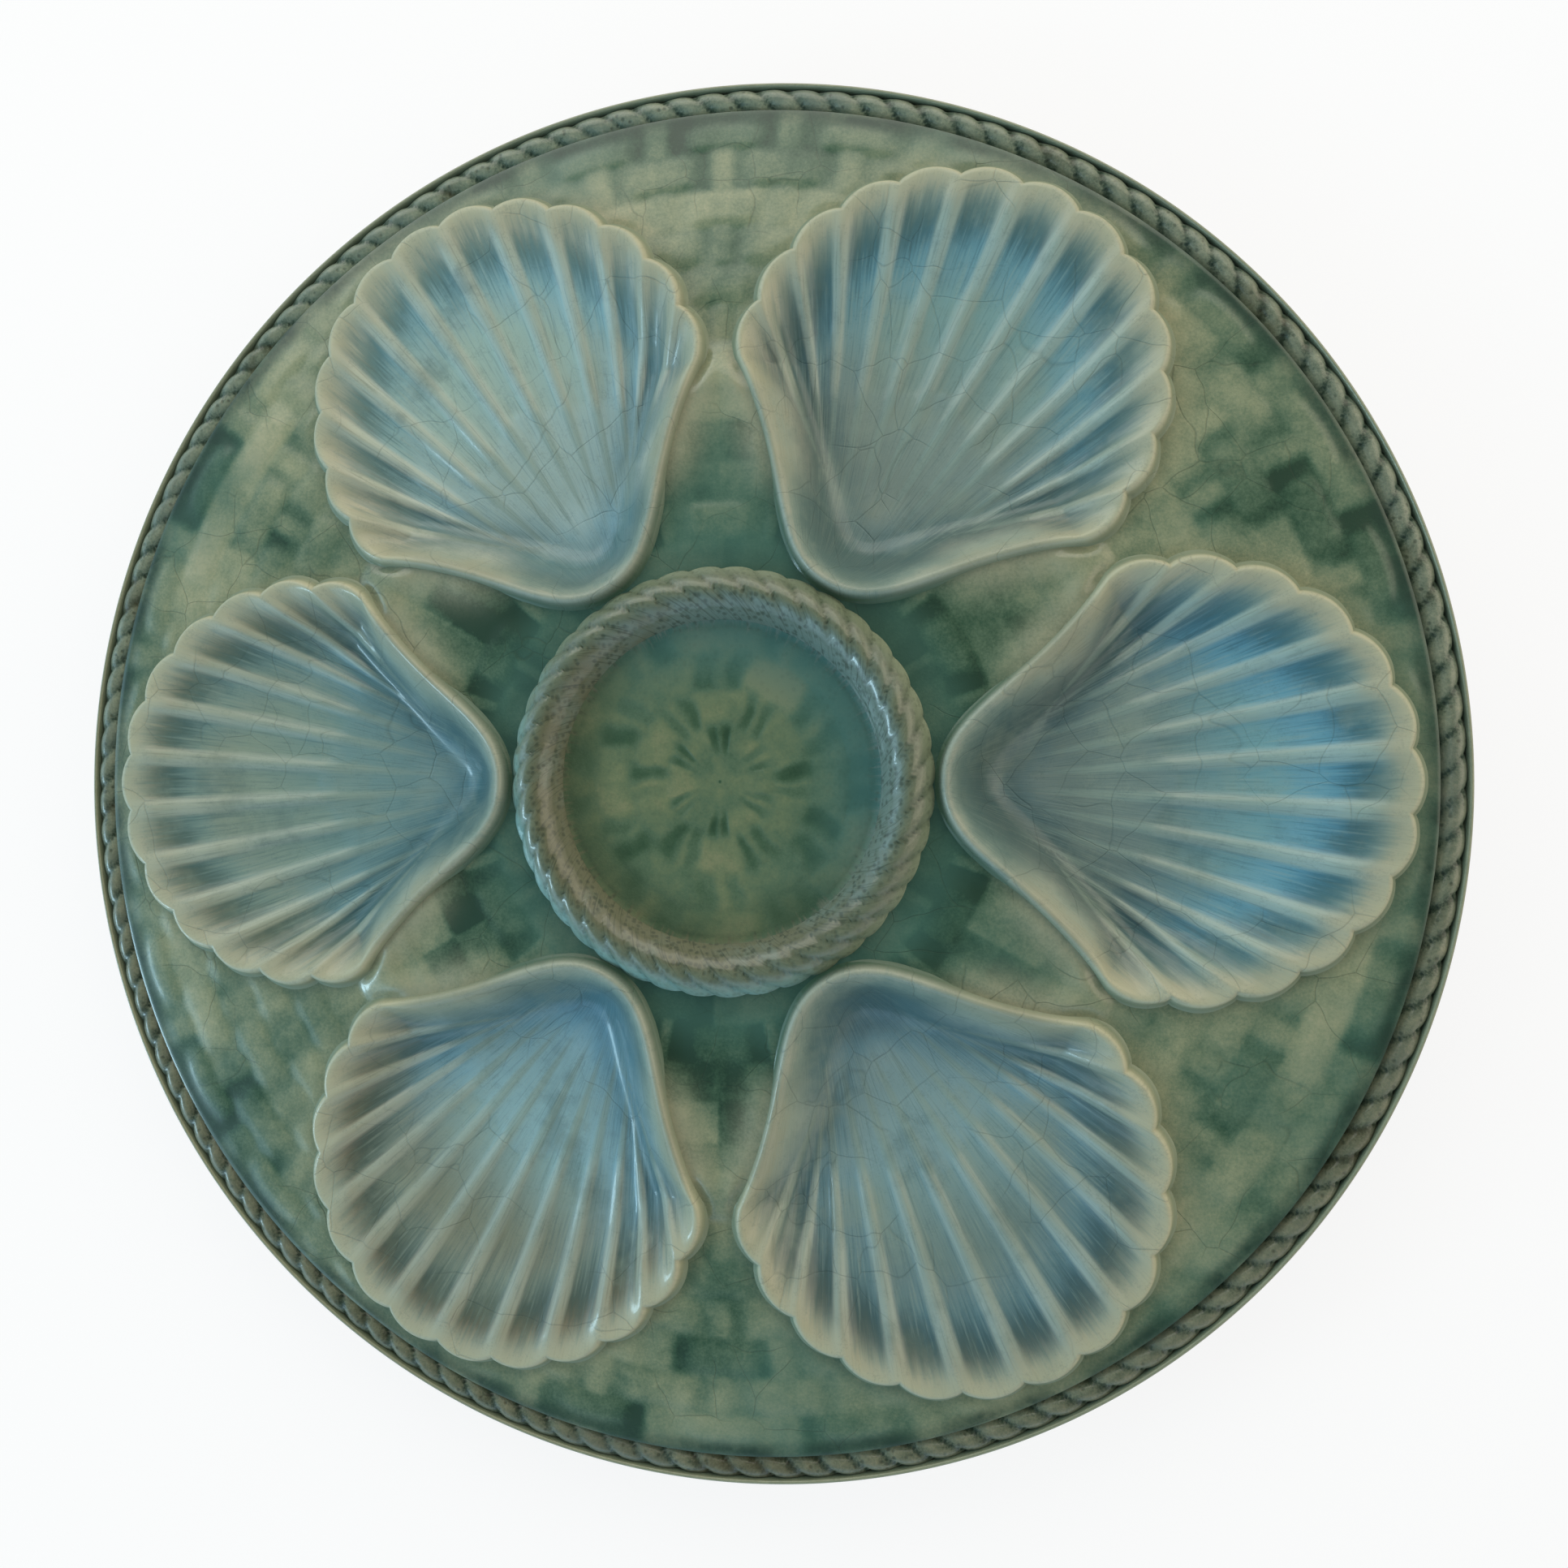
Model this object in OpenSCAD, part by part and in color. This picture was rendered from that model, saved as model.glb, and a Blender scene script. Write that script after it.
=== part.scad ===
// Oyster plate in glazed earthenware: six fluted scallop wells set in a
// woven ground, a roped well in the centre and a roped rim. Millimetres.
// The foot stands on z = 0 and the plate's axis is the z axis.

/* [Plate] */
// Outer diameter over the rim lip
plate_d = 250; // [248:1:262]
// Height of the rim lip above the table
rim_h = 17.5; // [16:0.25:20]
// Thickness of the plate under the rim rope
rim_t = 4; // [3:0.25:5]

/* [Woven ground] */
// Rise of the ground's outer edge above the rim lip
ground_out_rise = 1.5; // [0.5:0.25:2.5]
// Rise of the ground from its outer edge to the centre rope
ground_in_rise = 4; // [2.5:0.25:6]
// Thickness of the ground
ground_t = 5; // [4:0.25:6]
// Height of the woven pillows above the ground
weave_h = 0.7; // [0.4:0.05:1]

/* [Shell wells] */
// Radius of the fan to the notches of the lip, as a share of the diameter
fan_share = 0.1412; // [0.136:0.0004:0.144]
// How far each scallop of the lip bulges past the notches
scallop_h = 1.5; // [0.8:0.1:2]
// Number of flutes in a shell
flutes = 13; // [9:2:17]
// Height of the lip above the ground
lip_h = 2.5; // [1.5:0.1:3.5]
// Width of the lip's outer flank
lip_w = 1.1; // [0.8:0.05:1.2]
// Depth of the well's floor below the ground's outer edge, at the fan end
floor_out_depth = 0.5; // [0.25:0.25:2.5]
// Depth of the well's floor below the ground's outer edge, at the hinge end
floor_in_depth = 5.5; // [4:0.25:7]
// Thickness of the well under its floor
well_t = 4; // [3:0.25:5]
// Height of the ridges between the flutes
ridge_h = 1.2; // [0.6:0.1:1.6]

/* [Centre well] */
// Radius of the centre rope's outer foot, as a share of the diameter
ring_share = 0.1504; // [0.14:0.0004:0.152]
// Width of the centre rope between its feet
ring_w = 8.1; // [7:0.1:9.5]
// Height of the centre rope's crest above the ground
ring_rise = 4; // [3:0.25:5]
// Depth of the centre well's floor below the ground at the rope
bowl_depth = 1.5; // [1:0.1:2.5]
// Thickness of the centre well's floor
bowl_t = 4.4; // [3.5:0.1:6]
// Length of one lay of the centre rope, round its middle
ring_lay_w = 5.3; // [4.4:0.1:7]

/* [Rim rope] */
// Width of the rim rope
rope_w = 4.5; // [4:0.25:5]
// Height of the rim rope above its channel
rope_h = 3.4; // [2.5:0.1:4]
// Depth of the rim channel below the top of the lip
channel_h = 3; // [2:0.1:3.5]
// Thickness of the rim lip outside the rope
rim_lip_w = 0.6; // [0.5:0.1:1.2]
// Length of one lay of the rim rope, round its middle
rim_lay_w = 5.68; // [5.2:0.02:8]

/* [Foot] */
// Radius of the middle of the foot ring, as a share of the diameter
foot_share = 0.24; // [0.224:0.004:0.28]
// Width of the foot ring where it stands
foot_w = 3.6; // [3:0.2:6]
// How much wider the foot ring is on each side where it joins the plate
foot_flare = 1.5; // [0.5:0.1:2.5]

/* [Hidden] */
$fn = 96;

shells = 6;
overrun = 5;                 // how far a cut runs past the material

// radii, from the rim inwards
plate_r = plate_d / 2;
fan_r = plate_d * fan_share;
foot_r = plate_d * foot_share;
ring_out_r = plate_d * ring_share;
ring_in_r = ring_out_r - ring_w;
rope_out_r = plate_r - rim_lip_w;
rope_in_r = rope_out_r - rope_w;
groove_w = 0.8;              // slope from the ground down to the rope's channel
edge_r = rope_in_r - groove_w;
roll_w = 4;                  // width of the rolled edge, lip and half of the channel
roll_r = plate_r - roll_w;
under_edge_w = 13;           // width of the rim's thicker underside
under_edge_r = plate_r - under_edge_w;

// heights above the table
channel_z = rim_h - channel_h;
rim_under_z = channel_z - rim_t;
ground_out_h = rim_h + ground_out_rise;
ground_in_h = ground_out_h + ground_in_rise;
floor_out_h = ground_out_h - floor_out_depth;
floor_in_h = ground_out_h - floor_in_depth;
ring_h = ground_in_h + ring_rise;
bowl_h = ground_in_h - bowl_depth;

// shell wells, seen along the axis of the shell that points along +x
tip_gap = 2.6;               // ground left between a shell and the channel's slope
hinge_gap = 0.7;             // ground left between a shell and the centre rope
fan_x = edge_r - tip_gap - lip_w - scallop_h - fan_r;
hinge_x = ring_out_r + hinge_gap + lip_w;
corner_a = 111;              // angle of the fan's corners about its centre
flute_a = 2 * corner_a / flutes;
flute_steps = [0, 0.3, 0.7]; // a ridge and the two edges of the flute's bed
side_steps = 7;
side_pull_shares = [0.5, 0.44];   // reach of the side's curve, along x and y
hinge_pull_share = 0.36;          // half width of the blunt hinge end

// inner lines of a shell, as shares of the fan's radius
side_wall_share = 0.176;     // width of the wall along the sides and the hinge
crease_share = 0.63;         // where the fan's wall meets the floor
crease_rise_share = 0.11;    // how much that grows towards the corners
umbo_share = 0.37;           // from the hinge to the point where the flutes fade
umbo_round_share = 0.08;     // round that point
side_wall_w = fan_r * side_wall_share;
crease_r = fan_r * crease_share;
crease_rise = fan_r * crease_rise_share;
umbo_x = hinge_x + fan_r * umbo_share;
umbo_r = fan_r * umbo_round_share;
crease_a = 107;              // where the flute of the corner meets the floor
umbo_a = 90;                 // where the corner's flute fades, about the umbo

// height of the ground's upper face, and of its underside, at a radius
function slope_at(r, r0, z0, r1, z1) = z0 + (z1 - z0) * (r - r0) / (r1 - r0);
function ground_z(r) = slope_at(r, ring_out_r, ground_in_h, edge_r, ground_out_h);
function under_z(r) = r < under_edge_r
    ? ground_z(r) - ground_t
    : slope_at(r, under_edge_r, ground_z(under_edge_r) - ground_t, roll_r, rim_under_z);

fan_end_x = fan_x + crease_r;
function floor_z(x) = slope_at(x, fan_end_x, floor_out_h, hinge_x + side_wall_w, floor_in_h);

function mix(a, b, t) = a + (b - a) * t;
function unit(v) = v / norm(v);

// The lip's outline. Each entry holds the crest point, the outward normal,
// the crease point under the wall, the point where its flute fades and
// whether a ridge starts there.
function fan_entry(a, r, ridge) =
    let (
        n = [cos(a), sin(a)],
        ca = crease_a * sin(90 * a / corner_a),
        cr = crease_r + crease_rise * pow(sin(ca / 2), 2),
        ua = umbo_a * a / corner_a
    )
    [
        [fan_x + r * cos(a), r * sin(a)],
        n,
        [fan_x + cr * cos(ca), cr * sin(ca)],
        umbo_point(ua),
        ridge
    ];

function umbo_point(a) = [umbo_x + umbo_r * cos(a), umbo_r * sin(a)];

corner = [fan_x + fan_r * cos(corner_a), fan_r * sin(corner_a)];
side_pull = [
    mix(hinge_x, corner.x, side_pull_shares.x),
    corner.y * side_pull_shares.y
];
hinge_pull = [hinge_x, corner.y * hinge_pull_share];

function bezier(p, q, r, s, t) =
    pow(1 - t, 3) * p + 3 * pow(1 - t, 2) * t * q + 3 * (1 - t) * t * t * r + pow(t, 3) * s;
function bezier_way(p, q, r, s, t) =
    pow(1 - t, 2) * (q - p) + 2 * (1 - t) * t * (r - q) + t * t * (s - r);

// one side of the shell, from its corner to the hinge; side is 1 or -1
function side_entry(t, side) =
    let (
        p = bezier(corner, side_pull, hinge_pull, [hinge_x, 0], t),
        w = unit(bezier_way(corner, side_pull, hinge_pull, [hinge_x, 0], t)),
        n = [w.y, -w.x],
        c = p - side_wall_w * n,
        u = umbo_point(mix(umbo_a, 180, t))
    )
    [
        [p.x, side * p.y],
        [n.x, side * n.y],
        [c.x, side * c.y],
        [u.x, side * u.y],
        0
    ];

outline = [
    for (k = [0 : flutes - 1])
        for (s = flute_steps)
            fan_entry(
                (k + s) * flute_a - corner_a,
                fan_r + (s == 0 ? 0 : scallop_h),
                s == 0 ? 1 : 0
            ),
    fan_entry(corner_a, fan_r, 1),
    for (i = [1 : side_steps]) side_entry(i / side_steps, 1),
    for (i = [side_steps - 1 : -1 : 1]) side_entry(i / side_steps, -1)
];

function crest(e) = e[0];
function flank(e) = e[0] + lip_w * e[1];
function wall(e, t) = mix(e[0], e[2], t);
function bed(e, t) = mix(e[2], e[3], t);

function crest_z(e) = ground_z(norm(flank(e))) + lip_h;

// rings of the well from the middle of its floor, over the lip and down
// to the middle of its underside; every ring follows the outline
lip_in_share = 0.16;
lip_drop = 0.7;
wall_share = 0.55;
wall_drop_share = 0.66;
bed_shares = [0.35, 0.7];
ridge_fade_shares = [0.8, 0.45];
bulge_mid_share = 0.88;
bulge_low_share = 0.68;
bulge_mid_drop_share = 0.6;  // of the drop from the flank to the low ring
bulge_back = 5.5;            // the underside's middle lies nearer the hinge
bulge_x = fan_x - bulge_back;

function bulge(e, share) = mix([bulge_x, 0], flank(e), share);

// the underside is level with the ground's where the floor lies high
function flank_under_z(e) = under_z(norm(flank(e)));
function bulge_z(e) = min(flank_under_z(e), floor_z(bulge(e, bulge_low_share).x) - well_t);

function ring(points, heights) = [
    for (i = [0 : len(points) - 1]) [points[i].x, points[i].y, heights[i]]
];

function top_rings() = [
    ring([for (e = outline) e[3]], [for (e = outline) floor_z(e[3].x)]),
    ring(
        [for (e = outline) bed(e, bed_shares[1])],
        [for (e = outline) floor_z(bed(e, bed_shares[1]).x) + ridge_fade_shares[1] * ridge_h * e[4]]
    ),
    ring(
        [for (e = outline) bed(e, bed_shares[0])],
        [for (e = outline) floor_z(bed(e, bed_shares[0]).x) + ridge_fade_shares[0] * ridge_h * e[4]]
    ),
    ring([for (e = outline) e[2]], [for (e = outline) floor_z(e[2].x) + ridge_h * e[4]]),
    ring(
        [for (e = outline) wall(e, wall_share)],
        [for (e = outline) mix(crest_z(e), floor_z(e[2].x), wall_drop_share) + ridge_h * e[4]]
    ),
    ring([for (e = outline) wall(e, lip_in_share)], [for (e = outline) crest_z(e) - lip_drop]),
    ring([for (e = outline) crest(e)], [for (e = outline) crest_z(e)]),
    ring([for (e = outline) flank(e)], [for (e = outline) ground_z(norm(flank(e)))])
];

function bulge_rings() = [
    ring([for (e = outline) flank(e)], [for (e = outline) flank_under_z(e)]),
    ring(
        [for (e = outline) bulge(e, bulge_mid_share)],
        [for (e = outline) mix(flank_under_z(e), bulge_z(e), bulge_mid_drop_share)]
    ),
    ring([for (e = outline) bulge(e, bulge_low_share)], [for (e = outline) bulge_z(e)])
];
under_mid = [bulge_x, 0, floor_z(bulge_x) - well_t];

// a closed solid from a stack of rings, with a fan of triangles at each end
module ring_solid(rings, first, last) {
    n = len(rings[0]);
    m = len(rings);
    points = concat([for (r = rings) each r], [first, last]);
    bands = [
        for (j = [0 : m - 2])
            for (i = [0 : n - 1])
                let (a = j * n + i, b = j * n + (i + 1) % n)
                each [[a, b, a + n], [b, b + n, a + n]]
    ];
    caps = [
        for (i = [0 : n - 1])
            each [
                [m * n, (i + 1) % n, i],
                [m * n + 1, (m - 1) * n + i, (m - 1) * n + (i + 1) % n]
            ]
    ];
    polyhedron(points, concat(bands, caps));
}

module shell_well(k) {
    color([0.42, 0.58, 0.58])
        rotate(k * 360 / shells)
            ring_solid(
                concat(top_rings(), bulge_rings()),
                [umbo_x, 0, floor_z(umbo_x)],
                under_mid
            );
}

// the space that a well's underside takes, for the foot to fit round
module bulge_space(k) {
    top = ring([for (e = outline) flank(e)], [for (e = outline) ground_in_h + overrun]);
    rotate(k * 360 / shells)
        ring_solid(
            concat([top], bulge_rings()),
            [bulge_x, 0, ground_in_h + overrun],
            under_mid
        );
}

module shell_holes() {
    for (k = [0 : shells - 1])
        rotate(k * 360 / shells)
            linear_extrude(ground_in_h + overrun)
                polygon([for (e = outline) flank(e)]);
}

module plate_body() {
    color([0.36, 0.46, 0.36])
        difference() {
            rotate_extrude()
                polygon([
                    [ring_out_r, under_z(ring_out_r)],
                    [under_edge_r, under_z(under_edge_r)],
                    [roll_r, rim_under_z],
                    [roll_r, channel_z],
                    [rope_in_r, channel_z],
                    [edge_r, ground_out_h],
                    [ring_out_r, ground_in_h]
                ]);
            shell_holes();
        }
}

// the weave: rows along the radius, with pillows and windows in turn round
// each wedge of ground between two shells
weave_rows = 11;
weave_in_gap = 4.8;          // from the last row to the centre rope
weave_row_w = (edge_r - ring_out_r - weave_in_gap) / weave_rows;
weave_gap = 0.5;             // between one row and the next
weave_bevel = 0.8;
weave_margin = 0.8;          // from the weave to a shell's lip
outer_rows = [0, 1, 2, 3, 4, 5];
inner_rows = [7, 8, 9, 10];
saddle_row = 6;
outer_cell_a = 6;
inner_cell_a = 12;
saddle_cell_a = 8;
saddle_h = 1.2;              // height of the smooth saddle between two corners
pillow_share = 1.25;
wedge_cells = 4;

function row_r(j) = edge_r - j * weave_row_w;
function crossings(p, poly) = [
    for (i = [0 : len(poly) - 1])
        let (a = poly[i], b = poly[(i + 1) % len(poly)])
        if ((a.y > p.y) != (b.y > p.y) && p.x < mix(a.x, b.x, (p.y - a.y) / (b.y - a.y))) 1
];
function inside(p, poly) = len(crossings(p, poly)) % 2 == 1;

margin_line = [for (e = outline) e[0] + (lip_w + weave_margin) * e[1]];
half_pitch = 180 / shells;

// a point of the wedge is clear when both neighbouring shells leave it free
function clear(r, a) =
    let (b = half_pitch - abs(a))
    b > 0 && !inside([r * cos(b), r * sin(b)], margin_line);

module pillow(r0, r1, a0, a1, h) {
    rotate(a0)
        rotate_extrude(angle = a1 - a0)
            polygon([
                [r0, ground_z(r0)],
                [r1, ground_z(r1)],
                [r1 - weave_bevel, ground_z(r1 - weave_bevel) + h],
                [r0 + weave_bevel, ground_z(r0 + weave_bevel) + h]
            ]);
}

module pillow_row(j, cell_a) {
    r1 = row_r(j) - weave_gap;
    r0 = row_r(j + 1);
    w = cell_a * pillow_share / 2;
    for (i = [-wedge_cells : wedge_cells])
        if ((i + j) % 2 == 0 && clear((r0 + r1) / 2, i * cell_a))
            pillow(r0, r1, i * cell_a - w, i * cell_a + w, weave_h);
}

module weave_wedge() {
    for (j = outer_rows) pillow_row(j, outer_cell_a);
    for (j = inner_rows) pillow_row(j, inner_cell_a);
    pillow(
        row_r(saddle_row + 1), row_r(saddle_row) - weave_gap,
        -saddle_cell_a / 2, saddle_cell_a / 2, saddle_h
    );
}

// every wedge's weave is trimmed along the shells on its two sides
module weave_relief() {
    color([0.48, 0.56, 0.42])
        for (k = [0 : shells - 1])
            rotate(k * 360 / shells)
                difference() {
                    rotate(half_pitch) weave_wedge();
                    for (turn = [0, 2 * half_pitch])
                        rotate(turn)
                            linear_extrude(ground_in_h + overrun) polygon(margin_line);
                }
}

// a rope laid in a ring: its section is carried round, and from the point
// laid_from on it swells and sinks with each lay, slanted so that a lay
// climbs outwards over so many lays as it goes round
module rope_ring(section, laid_from, lays, swell_shares, swell, slant) {
    n = len(section);
    m = lays * len(swell_shares);
    mid = (section[0] + section[1]) / 2;
    width = section[1].x - section[0].x;
    points = [
        for (i = [0 : m - 1])
            for (k = [0 : n - 1])
                let (
                    laid = k >= laid_from ? 1 : 0,
                    q = section[k],
                    sink = laid * swell * (1 - swell_shares[i % len(swell_shares)]),
                    p = q - sink * unit(q - mid),
                    a = 360 * i / m + laid * slant * (q.x - mid.x) / width * 360 / lays
                )
                [p.x * cos(a), p.x * sin(a), p.y]
    ];
    faces = [
        for (i = [0 : m - 1])
            for (k = [0 : n - 1])
                let (
                    a = i * n + k,
                    b = i * n + (k + 1) % n,
                    c = ((i + 1) % m) * n + k,
                    d = ((i + 1) % m) * n + (k + 1) % n
                )
                each [[a, b, c], [b, d, c]]
    ];
    polyhedron(points, faces);
}

// whole lays that fit round a ring
function lays_round(r, lay_w) = round(2 * PI * r / lay_w);

// a section's points, as shares of its width and height, from its inner
// foot across the seat and back over the crest
function section_at(shares, in_r, out_r, z0, z1) = [
    for (s = shares) [mix(in_r, out_r, s.x), mix(z0, z1, s.y)]
];

rim_rope_shares = [[0, 0], [1, 0], [1, 0.6], [0.78, 0.95], [0.45, 1], [0.12, 0.6]];
rim_swell_shares = [0, 1];
rim_swell = 0.7;             // how far the valley between two lays sinks
rim_slant = 0.65;
rim_laid_from = 3;
rim_lays = lays_round((rope_in_r + rope_out_r) / 2, rim_lay_w);
module rim_rope() {
    color([0.42, 0.46, 0.4])
        rope_ring(
            section_at(rim_rope_shares, rope_in_r, rope_out_r, channel_z, channel_z + rope_h),
            rim_laid_from, rim_lays, rim_swell_shares, rim_swell, rim_slant
        );
}

bowl_dish = 0.4;             // how much the floor rises from its middle to the rope
ring_seat_z = bowl_h + bowl_dish;
ring_shares = [
    [0, 0], [1, 0], [1, 0.5],
    [0.94, 0.76], [0.76, 0.96], [0.48, 1], [0.12, 0.62]
];
ring_swell_shares = [0, 0.7, 1, 0.8];
ring_swell = 1;
ring_slant = 2;
ring_laid_from = 3;
ring_lays = lays_round((ring_in_r + ring_out_r) / 2, ring_lay_w);
module centre_rope() {
    color([0.42, 0.4, 0.33])
        rope_ring(
            section_at(ring_shares, ring_in_r, ring_out_r, ring_seat_z, ring_h),
            ring_laid_from, ring_lays, ring_swell_shares, ring_swell, ring_slant
        );
}

module centre_bowl() {
    color([0.3, 0.42, 0.34])
        rotate_extrude()
            polygon([
                [0, bowl_h - bowl_t],
                [ring_in_r, bowl_h - bowl_t],
                [ring_out_r, under_z(ring_out_r)],
                [ring_out_r, ring_seat_z],
                [ring_in_r, ring_seat_z],
                [0, bowl_h]
            ]);
}

// the bowl's weave: three rings of pillows, each turned by half a cell
bowl_rows = 3;
bowl_cells = 6;
bowl_row_share = 0.224;      // width of a row, of the floor's radius
bowl_row_w = ring_in_r * bowl_row_share;
bowl_weave_h = 0.6;
bowl_pillow_share = 0.6;     // of a cell, the part that a pillow takes
function bowl_z(r) = slope_at(r, 0, bowl_h, ring_in_r, ring_seat_z);
module bowl_weave() {
    cell_a = 360 / bowl_cells;
    w = cell_a * bowl_pillow_share;
    color([0.33, 0.44, 0.35])
        for (j = [0 : bowl_rows - 1])
            for (i = [0 : bowl_cells - 1]) {
                r1 = ring_in_r - weave_gap - j * bowl_row_w;
                r0 = r1 - bowl_row_w + weave_gap;
                rotate((i + (j + 1) / 2) * cell_a - w / 2)
                    rotate_extrude(angle = w)
                        polygon([
                            [r0, bowl_z(r0)],
                            [r1, bowl_z(r1)],
                            [r1 - weave_bevel, bowl_z(r1 - weave_bevel) + bowl_weave_h],
                            [r0 + weave_bevel, bowl_z(r0 + weave_bevel) + bowl_weave_h]
                        ]);
            }
}

module rim_lip() {
    round_r = rim_lip_w / 2;
    color([0.4, 0.42, 0.34])
        rotate_extrude()
            polygon([
                for (a = [-90 : 18 : 0])
                    [roll_r + roll_w * cos(a), rim_under_z + roll_w + roll_w * sin(a)],
                for (a = [0 : 20 : 180])
                    [plate_r - round_r + round_r * cos(a), rim_h - round_r + round_r * sin(a)],
                [rope_out_r, channel_z],
                [roll_r, channel_z]
            ]);
}

foot_round = 0.6;
module foot_ring() {
    in_r = foot_r - foot_w / 2;
    out_r = foot_r + foot_w / 2;
    color([0.5, 0.48, 0.4])
        difference() {
            rotate_extrude()
                polygon([
                    [in_r + foot_round, 0],
                    [out_r - foot_round, 0],
                    [out_r, foot_round],
                    [out_r + foot_flare, under_z(out_r + foot_flare)],
                    [in_r - foot_flare, under_z(in_r - foot_flare)],
                    [in_r, foot_round]
                ]);
            for (k = [0 : shells - 1]) bulge_space(k);
        }
}

plate_body();
rim_lip();
rim_rope();
weave_relief();
shell_well(0);  // shell_well_1
shell_well(1);  // shell_well_2
shell_well(2);  // shell_well_3
shell_well(3);  // shell_well_4
shell_well(4);  // shell_well_5
shell_well(5);  // shell_well_6
centre_bowl();
bowl_weave();
centre_rope();
foot_ring();
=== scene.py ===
import math
import bpy
import numpy as np
from mathutils import Matrix, Vector


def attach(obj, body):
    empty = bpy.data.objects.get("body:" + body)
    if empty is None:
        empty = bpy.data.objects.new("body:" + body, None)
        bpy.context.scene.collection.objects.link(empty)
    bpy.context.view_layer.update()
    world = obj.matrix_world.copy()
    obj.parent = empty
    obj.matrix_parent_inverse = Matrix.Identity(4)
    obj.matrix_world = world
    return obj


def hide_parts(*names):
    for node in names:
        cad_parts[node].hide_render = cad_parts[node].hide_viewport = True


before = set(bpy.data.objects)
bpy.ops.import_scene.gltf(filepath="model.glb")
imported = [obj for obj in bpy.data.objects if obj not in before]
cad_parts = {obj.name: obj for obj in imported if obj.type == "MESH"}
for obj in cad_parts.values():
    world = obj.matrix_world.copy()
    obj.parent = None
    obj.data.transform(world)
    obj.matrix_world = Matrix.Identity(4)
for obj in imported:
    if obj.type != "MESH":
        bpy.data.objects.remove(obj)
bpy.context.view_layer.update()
print("frame loaded:", len(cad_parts), "nodes")

mm = 0.001

# sizes in millimetres, seen on the plate that stands on z = 0
plateSizes = {
    "rimRadius": 125.0,
    "channelHeight": 14.5,
    "rimUnder": 10.5,
    "rollRadius": 121.0,
    "edgeRadius": 119.1,
    "edgeHeight": 19.0,
    "innerRadius": 37.6,
    "innerHeight": 23.0,
    "groundThickness": 5.0,
    "wells": 6,
}


def smoothStep(low, high, x):
    t = np.clip((x - low) / (high - low), 0, 1)
    return t * t * (3 - 2 * t)


def onLine(x, first, last):
    # height at x on the straight line through two points
    (x0, z0), (x1, z1) = first, last
    return z0 + (z1 - z0) * (x - x0) / (x1 - x0)


def groundHeight(r):
    p = plateSizes
    return onLine(r, (p["innerRadius"], p["innerHeight"]), (p["edgeRadius"], p["edgeHeight"]))


def polar(r, degrees, z):
    # points from their radius, angle and height
    a = np.radians(degrees)
    return np.stack(np.broadcast_arrays(r * np.cos(a), r * np.sin(a), z), -1).reshape(-1, 3)


def turned(points, degrees):
    c, s = math.cos(math.radians(degrees)), math.sin(math.radians(degrees))
    return points @ np.array([[c, s, 0], [-s, c, 0], [0, 0, 1]])


# colours are given as a screen shows them, 0 to 255
def srgb(r, g, b):
    c = np.array([r, g, b]) / 255
    lin = np.where(c <= 0.04045, c / 12.92, ((c + 0.055) / 1.055) ** 2.4)
    return (float(lin[0]), float(lin[1]), float(lin[2]), 1.0)


def tones(*stops):
    # the stops of a ramp: a place and its colour
    return [(at, srgb(r, g, b)) for at, r, g, b in stops]


white = (1, 1, 1, 1)


def linked(name, data):
    piece = bpy.data.objects.new(name, data)
    bpy.context.scene.collection.objects.link(piece)
    return piece


def meshPiece(name, points, faces, attributes, sharpAngle=60):
    # an attribute is a list of numbers or of vectors, one for each point
    mesh = bpy.data.meshes.new(name)
    mesh.from_pydata((points * mm).tolist(), [], faces)
    mesh.validate()
    for key, values in attributes.items():
        values = np.asarray(values, dtype=np.float32)
        kind, field = ("FLOAT", "value") if values.ndim == 1 else ("FLOAT_VECTOR", "vector")
        mesh.attributes.new(key, kind, "POINT").data.foreach_set(field, values.ravel())
    mesh.shade_smooth()
    mesh.set_sharp_from_angle(angle=math.radians(sharpAngle))
    return linked(name, mesh)


def stackFaces(rings, around, poles=True):
    # quads between neighbouring rings, and a fan at each end to the two points that follow the rings
    i, j = np.meshgrid(np.arange(rings - 1), np.arange(around), indexing="ij")
    k = (j + 1) % around
    quads = np.stack([i * around + j, (i + 1) * around + j, (i + 1) * around + k, i * around + k], -1)
    faces = quads.reshape(-1, 4).tolist()
    if poles:
        pole, base = rings * around, (rings - 1) * around
        faces += [(pole, a, (a + 1) % around) for a in range(around)]
        faces += [(pole + 1, base + (a + 1) % around, base + a) for a in range(around)]
    return faces


def soften(values, times, wraps=False):
    # spread a grid of values over its neighbours
    for _ in range(times):
        wide = np.pad(values, ((1, 1), (0, 0)), mode="edge")
        values = (wide[:-2] + 2 * values + wide[2:]) / 4
        wide = np.pad(values, ((0, 0), (1, 1)), mode="wrap" if wraps else "edge")
        values = (wide[:, :-2] + 2 * values + wide[:, 2:]) / 4
    return values


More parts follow.
